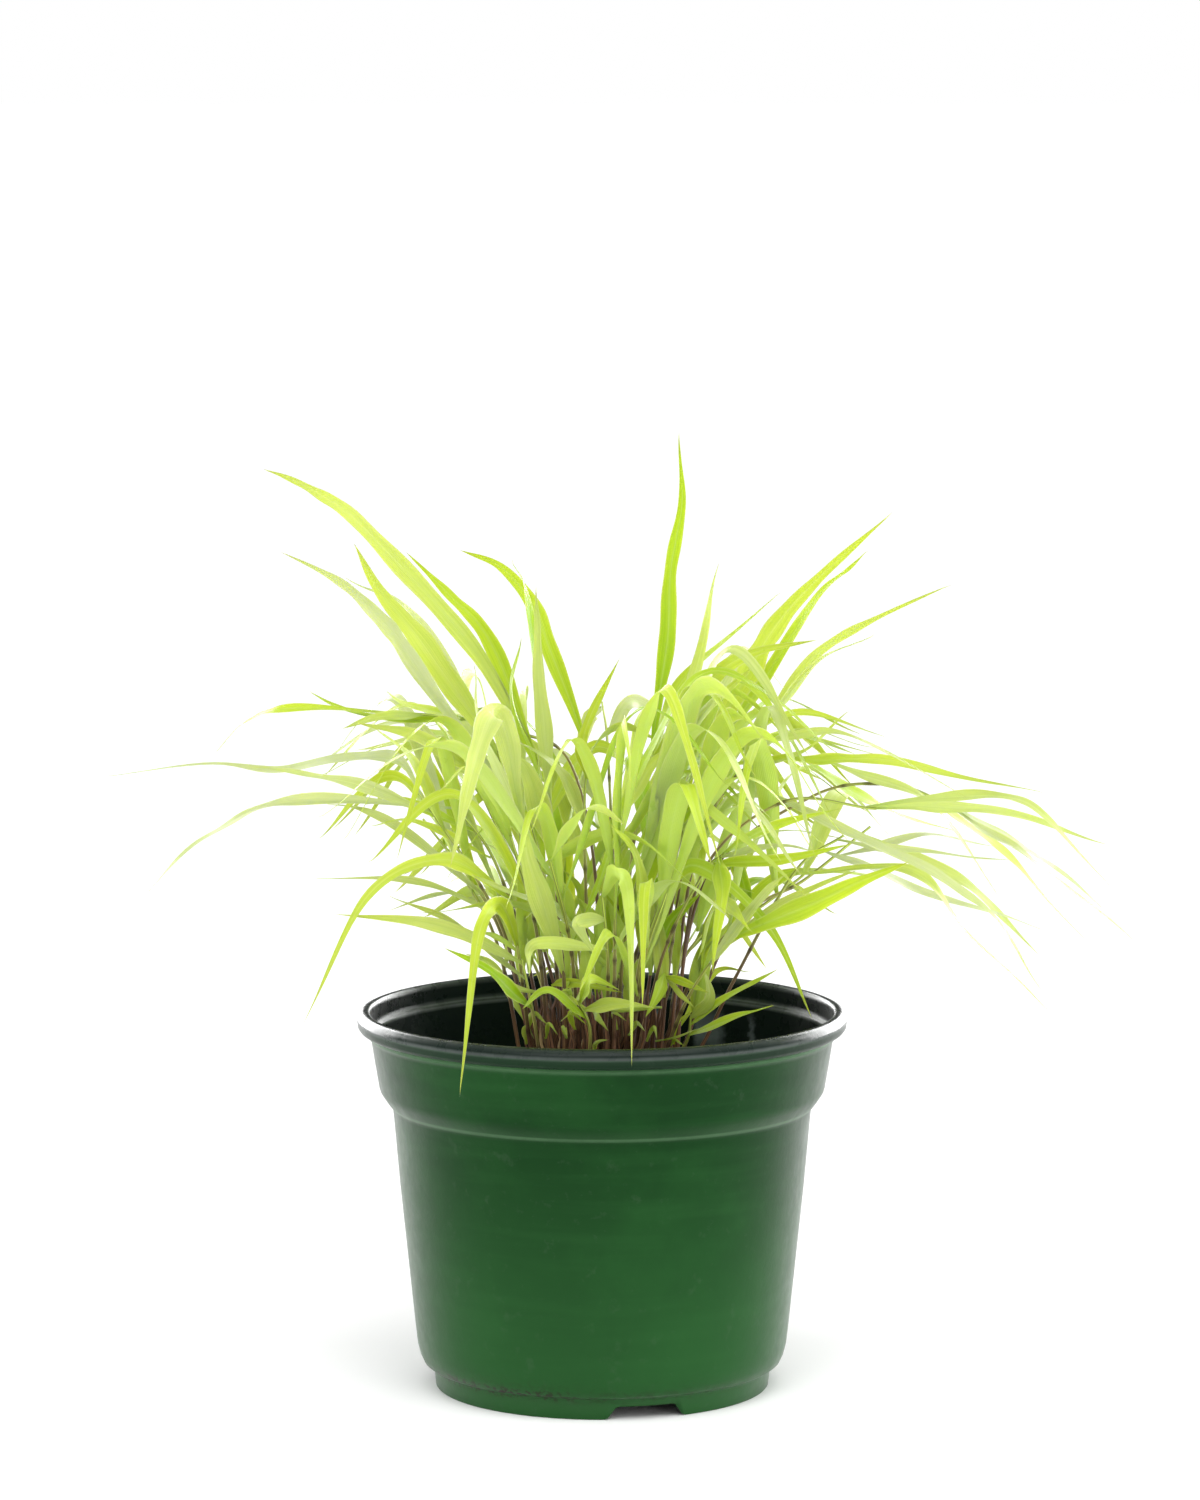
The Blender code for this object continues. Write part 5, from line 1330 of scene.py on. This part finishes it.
def insideGlints(tree, parts, black, s):  # painted reflections: upright glints on the far inner wall, to the right
    bend = addNode(tree, "ShaderNodeTexNoise", {"Scale": s["glintScale"]}).outputs["Fac"]
    across = mathNode(tree, "MULTIPLY_ADD", bend, s["glintBend"], times(tree, parts["X"], 12.0))
    stripes = ramp(tree, across, (0.222, 0.0), (0.244, 0.9), (0.272, 0.0), (0.39, 0.0), (0.42, 0.40),
                   (0.50, 0.30), (0.54, 0.0), (0.625, 0.0), (0.64, 0.25), (0.66, 0.0))
    level = ramp(tree, times(tree, parts["Z"], 8.0), (0.80, 0.0), (0.86, 1.0), (0.91, 0.7), (0.945, 0.0))
    farSide = mathNode(tree, "GREATER_THAN", parts["Y"], s["glintsFrom"])
    return times(tree, times(tree, stripes, level), times(tree, farSide, black))


def makePotMaterial(s):
    material, tree, shader = newMaterial("potPlastic")
    black = attribute(tree, "black")
    place = addNode(tree, "ShaderNodeTexCoord").outputs["Object"]
    parts = addNode(tree, "ShaderNodeSeparateXYZ", {0: place}).outputs
    height = parts["Z"]
    blotch = useGroup(tree, surfaceSpots, Scale=16.0, Level=0.42, Softness=0.30)
    colour = mixColour(tree, blotch["Mask"], s["deep"], s["green"])
    low = ramp(tree, times(tree, height, 9.0), (0.0, 0.75), (0.85, 0.0))
    colour = mixColour(tree, low, colour, s["pale"])
    scuff = useGroup(tree, surfaceSpots, Scale=150.0, Level=0.60, Softness=0.12)
    colour = mixColour(tree, times(tree, scuff["Mask"], 0.08), colour, s["dust"])
    colour = mixColour(tree, times(tree, streaks(tree, place, s), 0.16), colour, s["pale"])
    # painted shade: a dark band under the step's ridge
    paintedShadeUnderStep = ramp(tree, times(tree, height, 10.0), (0.915, 0.0), (0.95, 0.6), (0.957, 0.6), (0.965, 0.0))
    colour = mixColour(tree, paintedShadeUnderStep, colour, s["deep"])
    speck = useGroup(tree, surfaceSpots, Scale=560.0, Level=0.50, Softness=0.05)
    footStops = ((0.20, 0.0), (0.27, 1.0), (0.34, 1.0), (0.43, 0.15), (0.6, 0.0))
    nearFoot = ramp(tree, times(tree, height, 40.0), *footStops)
    leftward = mathNode(tree, "MULTIPLY_ADD", parts["X"], 8.0, 0.5)
    leftward = ramp(tree, leftward, (0.30, 1.0), (0.48, 0.35), (0.9, 0.15))
    colour = mixColour(tree, times(tree, times(tree, speck["Mask"], nearFoot), leftward), colour, s["soil"])
    # painted highlights: pale lines along the lip, the ridges and the step, mixed into the colour on green
    # and on black
    uneven = mathNode(tree, "MULTIPLY_ADD", scuff["Cloud"], 0.9, 0.45)
    paintedHighlight = times(tree, attribute(tree, "worn"), uneven)
    colour = mixColour(tree, paintedHighlight, colour, s["wornGreen"])
    colour = mixColour(tree, black, colour, mixColour(tree, paintedHighlight, s["black"], s["wornBlack"]))
    # painted reflections mixed into the colour of the inner wall
    colour = mixColour(tree, insideGlints(tree, parts, black, s), colour, s["glint"])
    dust = useGroup(tree, surfaceSpots, Scale=330.0, Level=0.62, Softness=0.10)
    colour = mixColour(tree, times(tree, dust["Mask"], 0.05), colour, s["dust"])
    onLip = ramp(tree, times(tree, height, 5.0), (0.605, 0.0), (0.625, 1.0))
    lipRise, blackFall = s["lipShine"] - s["insideShine"], s["insideShine"] - s["shine"]
    darkShine = mathNode(tree, "MULTIPLY_ADD", onLip, lipRise, blackFall)
    shine = mathNode(tree, "MULTIPLY_ADD", black, darkShine, s["shine"])
    facing = addNode(tree, "ShaderNodeLayerWeight", {"Blend": 0.5}).outputs["Facing"]
    outer = mathNode(tree, "SUBTRACT", 1.0, black)
    outer = mathNode(tree, "MAXIMUM", outer, times(tree, onLip, s["lipEdgeShine"]))
    glancing = times(tree, mathNode(tree, "POWER", facing, 3.0), outer)
    rough = mathNode(tree, "MULTIPLY_ADD", scuff["Cloud"], 0.30, s["roughness"] - 0.12)
    feedAll(tree, shader, {
        "Base Color": colour,
        "Specular IOR Level": mathNode(tree, "MULTIPLY_ADD", glancing, s["edgeShine"], shine),
        "Roughness": mathNode(tree, "MULTIPLY_ADD", black, s["blackSmoother"], rough),
        "Normal": bump(tree, scuff["Cloud"], s["grain"]),
    })
    return material


def makePot(s):
    green, black = roundedProfile(s)
    profile = green + black
    points, faces = turnedRings(profile, s["sides"])
    mesh = bmesh.new()
    isBlack = mesh.faces.layers.float.new("black")
    isPaintedHighlight = mesh.verts.layers.float.new("worn")
    verts = [mesh.verts.new(Vector(point) * mm) for point in points]
    # each point's share of the painted highlight lines
    for number, vert in enumerate(verts):
        radius, height = profile[number // s["sides"]]
        vert[isPaintedHighlight] = max(pale * math.exp(-((radius - r) ** 2 + (height - z) ** 2) / reach ** 2)
                           for r, z, pale, reach in paintedHighlightLines)
    lastGreen = len(green) - 1
    for number, face in enumerate(faces):
        made = mesh.faces.new([verts[corner] for corner in face])
        made.smooth = True
        row = number // s["sides"]
        underLip = lastGreen - s["lipGreenRows"] <= row < lastGreen  # painted shade: the green rows under the lip are darkened towards black
        made[isBlack] = 1.0 if row >= lastGreen else s["lipBlack"] if underLip else 0.0
    return meshObject("potFine", mesh, makePotMaterial(potLook))


def prism(near, far):  # a closed block between two rings of points
    mesh = bmesh.new()
    rings = [[mesh.verts.new(Vector(point) * mm) for point in ring] for ring in (near, far)]
    mesh.faces.new(rings[0])
    mesh.faces.new(rings[1][::-1])
    for step in range(len(near)):
        side = (step + 1) % len(near)
        mesh.faces.new((rings[0][step], rings[1][step], rings[1][side], rings[0][side]))
    bmesh.ops.recalc_face_normals(mesh, faces=mesh.faces)
    return meshObject("cutter", mesh)


def notchCutter(s, angle):
    half, top = s["notchWidth"] / 2, s["notchHeight"]
    left = [(-half, 0.0), (-half + 1.2, 0.5), (-half + top - 0.8, top - 0.4), (-half + top + 0.4, top)]
    right = [(-side, height) for side, height in left]
    outline = [(-half, -2.0), (half, -2.0)] + right + left[::-1]
    axis = Vector((math.cos(angle), math.sin(angle), 0.0))
    across = Vector((-axis.y, axis.x, 0.0))
    rings = []
    for distance in (s["foot"] - s["notchCut"], s["foot"] + s["notchCut"]):
        rings.append([axis * distance + across * side + Vector((0, 0, height)) for side, height in outline])
    return prism(*rings)


def drainCutter(s, angle):
    middleX, middleY = s["drainCircle"] * math.cos(angle), s["drainCircle"] * math.sin(angle)
    ring = [(middleX + x, middleY + y) for x, y in circle(s["drain"], s["drainSides"])]
    return prism(*([(x, y, height) for x, y in ring] for height in s["drainCut"]))


def cutPot(pot, s):
    cutters = bpy.data.collections.new("cutters")
    for count in range(s["notches"]):
        angle = math.radians(s["firstNotch"] + 360.0 / s["notches"] * count)
        cutters.objects.link(notchCutter(s, angle))
    for count in range(s["drains"]):
        angle = math.radians(s["firstNotch"] + s["drainTurn"] + 360.0 / s["drains"] * count)
        cutters.objects.link(drainCutter(s, angle))
    cut = pot.modifiers.new("cut", "BOOLEAN")
    cut.operation = "DIFFERENCE"
    cut.solver = "EXACT"
    cut.operand_type = "COLLECTION"
    cut.collection = cutters
    bakeModifiers(pot)
    for cutter in list(cutters.objects):
        bpy.data.objects.remove(cutter)
    bpy.data.collections.remove(cutters)


pot = makePot(potSizes)
cutPot(pot, potSizes)
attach(pot, "root")
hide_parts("pot")
print("pot made,", len(pot.data.polygons), "faces")


# Potting mix: a lumpy body, with crumbs, bark chips and pale beads scattered over it by Geometry Nodes

mixSizes = {
    "sides": 96, "rings": 26, "edgeHeight": 92.0, "shoulder": 97.0, "shoulderRadius": 44.0, "middle": 99.0,
    "gap": 0.4, "wallGap": 0.3, "bump": 1.6, "coarse": 0.16, "fine": 0.45, "calmRings": 3, "lowestBit": 93.0,
    "topRadius": 68.0, "footGap": 1.4,
}
mixLook = {  # the dark and the light colour, and the roughness
    "mixDark": ((0.012, 0.008, 0.005), (0.050, 0.031, 0.018), 0.85),
    "mixBark": ((0.035, 0.018, 0.009), (0.120, 0.068, 0.036), 0.75),
    "mixBead": ((0.42, 0.40, 0.36), (0.70, 0.68, 0.62), 0.9),
}
mixBits = {  # material, count, the bit's size and unevenness, smallest and largest scale, the seeds
    "mixCrumbs": ("mixDark", 1700, (1.5, 1.2, 1.0), 0.35, (0.4, 0.4, 0.4), (1.3, 1.3, 1.3), 3, 4),
    "mixChips": ("mixBark", 420, (4.2, 1.9, 0.8), 0.25, (0.4, 0.5, 0.6), (1.2, 1.2, 1.2), 8, 7),
    "mixBeads": ("mixBead", 46, (1.5, 1.4, 1.3), 0.2, (0.5, 0.5, 0.5), (1.1, 1.1, 1.1), 12, 9),
}


def makeMixMaterial(name, dark, light, roughness):
    material, tree, shader = newMaterial(name)
    spots = useGroup(tree, surfaceSpots, Scale=260.0, Level=0.35, Softness=0.35)
    feedAll(tree, shader, {"Base Color": mixColour(tree, spots["Mask"], dark, light), "Roughness": roughness,
                           "Normal": bump(tree, spots["Cloud"], 0.0006)})
    return material


def mixHeight(s, radius, edge):  # a gentle dome out to the shoulder, then a slope down to the wall
    if radius < s["shoulderRadius"]:
        return s["middle"] + (s["shoulder"] - s["middle"]) * radius / s["shoulderRadius"]
    fall = s["edgeHeight"] - s["shoulder"]
    return s["shoulder"] + fall * (radius - s["shoulderRadius"]) / (edge - s["shoulderRadius"])


def makeMix(s, p, material):
    wall = p["step"] - p["wall"] - s["gap"]
    mesh = bmesh.new()
    rings = []
    for ring in range(1, s["rings"] + 1):
        radius = (wall - s["wallGap"]) * ring / s["rings"]
        calm = min(1.0, (s["rings"] - ring) / s["calmRings"])
        verts = []
        for x, y in circle(radius, s["sides"]):
            lump = noise.noise(Vector((x, y, 0.0)) * s["coarse"])
            lump += 0.5 * noise.noise(Vector((x, y, 9.0)) * s["fine"])
            height = mixHeight(s, radius, wall) + s["bump"] * lump * calm
            verts.append(mesh.verts.new(Vector((x, y, height)) * mm))
        rings.append(verts)
    foot, floor, hole = p["bodyFoot"] - s["footGap"], p["floor"], p["drain"] - 2.0
    underside = ((foot, p["bodyFootHeight"] + 5.0), (foot - 3.4, floor + 1.8), (hole, floor + 1.4))
    for radius, height in underside:
        rings.append([mesh.verts.new(Vector((x, y, height)) * mm) for x, y in circle(radius, s["sides"])])
    centre = mesh.verts.new(Vector((0, 0, s["middle"])) * mm)
    for step in range(s["sides"]):
        side = (step + 1) % s["sides"]
        mesh.faces.new((centre, rings[0][step], rings[0][side])).smooth = True
        for inner, outer in zip(rings, rings[1:]):
            mesh.faces.new((inner[step], outer[step], outer[side], inner[side])).smooth = True
    mesh.faces.new(rings[-1][::-1])
    return meshObject("mixBody", mesh, material)


def makeScatterTree():
    tree, given = newTree("scatterBits", "GeometryNodeTree", {
        "Geometry": "Geometry", "Bit": "Object", "Bit Material": "Material", "Density": 1000.0, "Lowest": 0.0,
        "Smallest": (0.6, 0.6, 0.6), "Largest": (1.4, 1.4, 1.4), "Seed": 1}, {"Geometry": "Geometry"})
    where = addNode(tree, "ShaderNodeSeparateXYZ", {0: addNode(tree, "GeometryNodeInputPosition")})
    isTop = mathNode(tree, "GREATER_THAN", where.outputs["Z"], given["Lowest"])
    points = addNode(tree, "GeometryNodeDistributePointsOnFaces", {
        "Mesh": given["Geometry"], "Selection": isTop, "Density": given["Density"], "Seed": given["Seed"]})
    whole = {1: (math.tau, math.tau, math.tau)}
    spin = addNode(tree, "FunctionNodeRandomValue", whole, data_type="FLOAT_VECTOR")
    inputs = {0: given["Smallest"], 1: given["Largest"], "Seed": given["Seed"]}
    size = addNode(tree, "FunctionNodeRandomValue", inputs, data_type="FLOAT_VECTOR")
    bit = addNode(tree, "GeometryNodeObjectInfo", {"Object": given["Bit"]}).outputs["Geometry"]
    inputs = {"Points": points, "Instance": bit, "Rotation": spin, "Scale": size}
    placed = addNode(tree, "GeometryNodeInstanceOnPoints", inputs)
    real = addNode(tree, "GeometryNodeRealizeInstances", {0: placed})
    dressed = addNode(tree, "GeometryNodeSetMaterial", {"Geometry": real, "Material": given["Bit Material"]})
    addNode(tree, "NodeGroupOutput", {"Geometry": dressed})
    return tree


def makeBit(name, size, unevenness, seed):
    mesh = bmesh.new()
    bmesh.ops.create_icosphere(mesh, subdivisions=1, radius=1.0)
    draw = random.Random(seed)
    for vert in mesh.verts:
        grow = 1 + draw.uniform(-unevenness, unevenness)
        vert.co = Vector((vert.co.x * size[0], vert.co.y * size[1], vert.co.z * size[2])) * grow * mm
    return meshObject(name, mesh)


def scatter(base, name, tree, bit, material, s, count, smallest, largest, seed):
    piece = linkObject(name, base.data.copy())
    bits = piece.modifiers.new("bits", "NODES")
    bits.node_group = tree
    area = math.pi * ((s["topRadius"] * mm) ** 2)
    setModifier(bits, Bit=bit, BitMaterial=material, Density=count / area, Lowest=s["lowestBit"] * mm,
                Smallest=smallest, Largest=largest, Seed=seed)
    bakeModifiers(piece)
    bpy.data.objects.remove(bit)
    return piece


mixMaterials = {name: makeMixMaterial(name, *look) for name, look in mixLook.items()}
scatterTree = makeScatterTree()
mix = makeMix(mixSizes, potSizes, mixMaterials["mixDark"])
bits = []
for name, (look, count, size, unevenness, smallest, largest, bitSeed, seed) in mixBits.items():
    bit = makeBit(name + "Bit", size, unevenness, bitSeed)
    material = mixMaterials[look]
    bits.append(scatter(mix, name, scatterTree, bit, material, mixSizes, count, smallest, largest, seed))
for piece in [mix] + bits:
    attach(piece, "root")
    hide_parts("potting_mix")
print("potting mix made,", sum(len(piece.data.polygons) for piece in bits), "faces of crumbs")
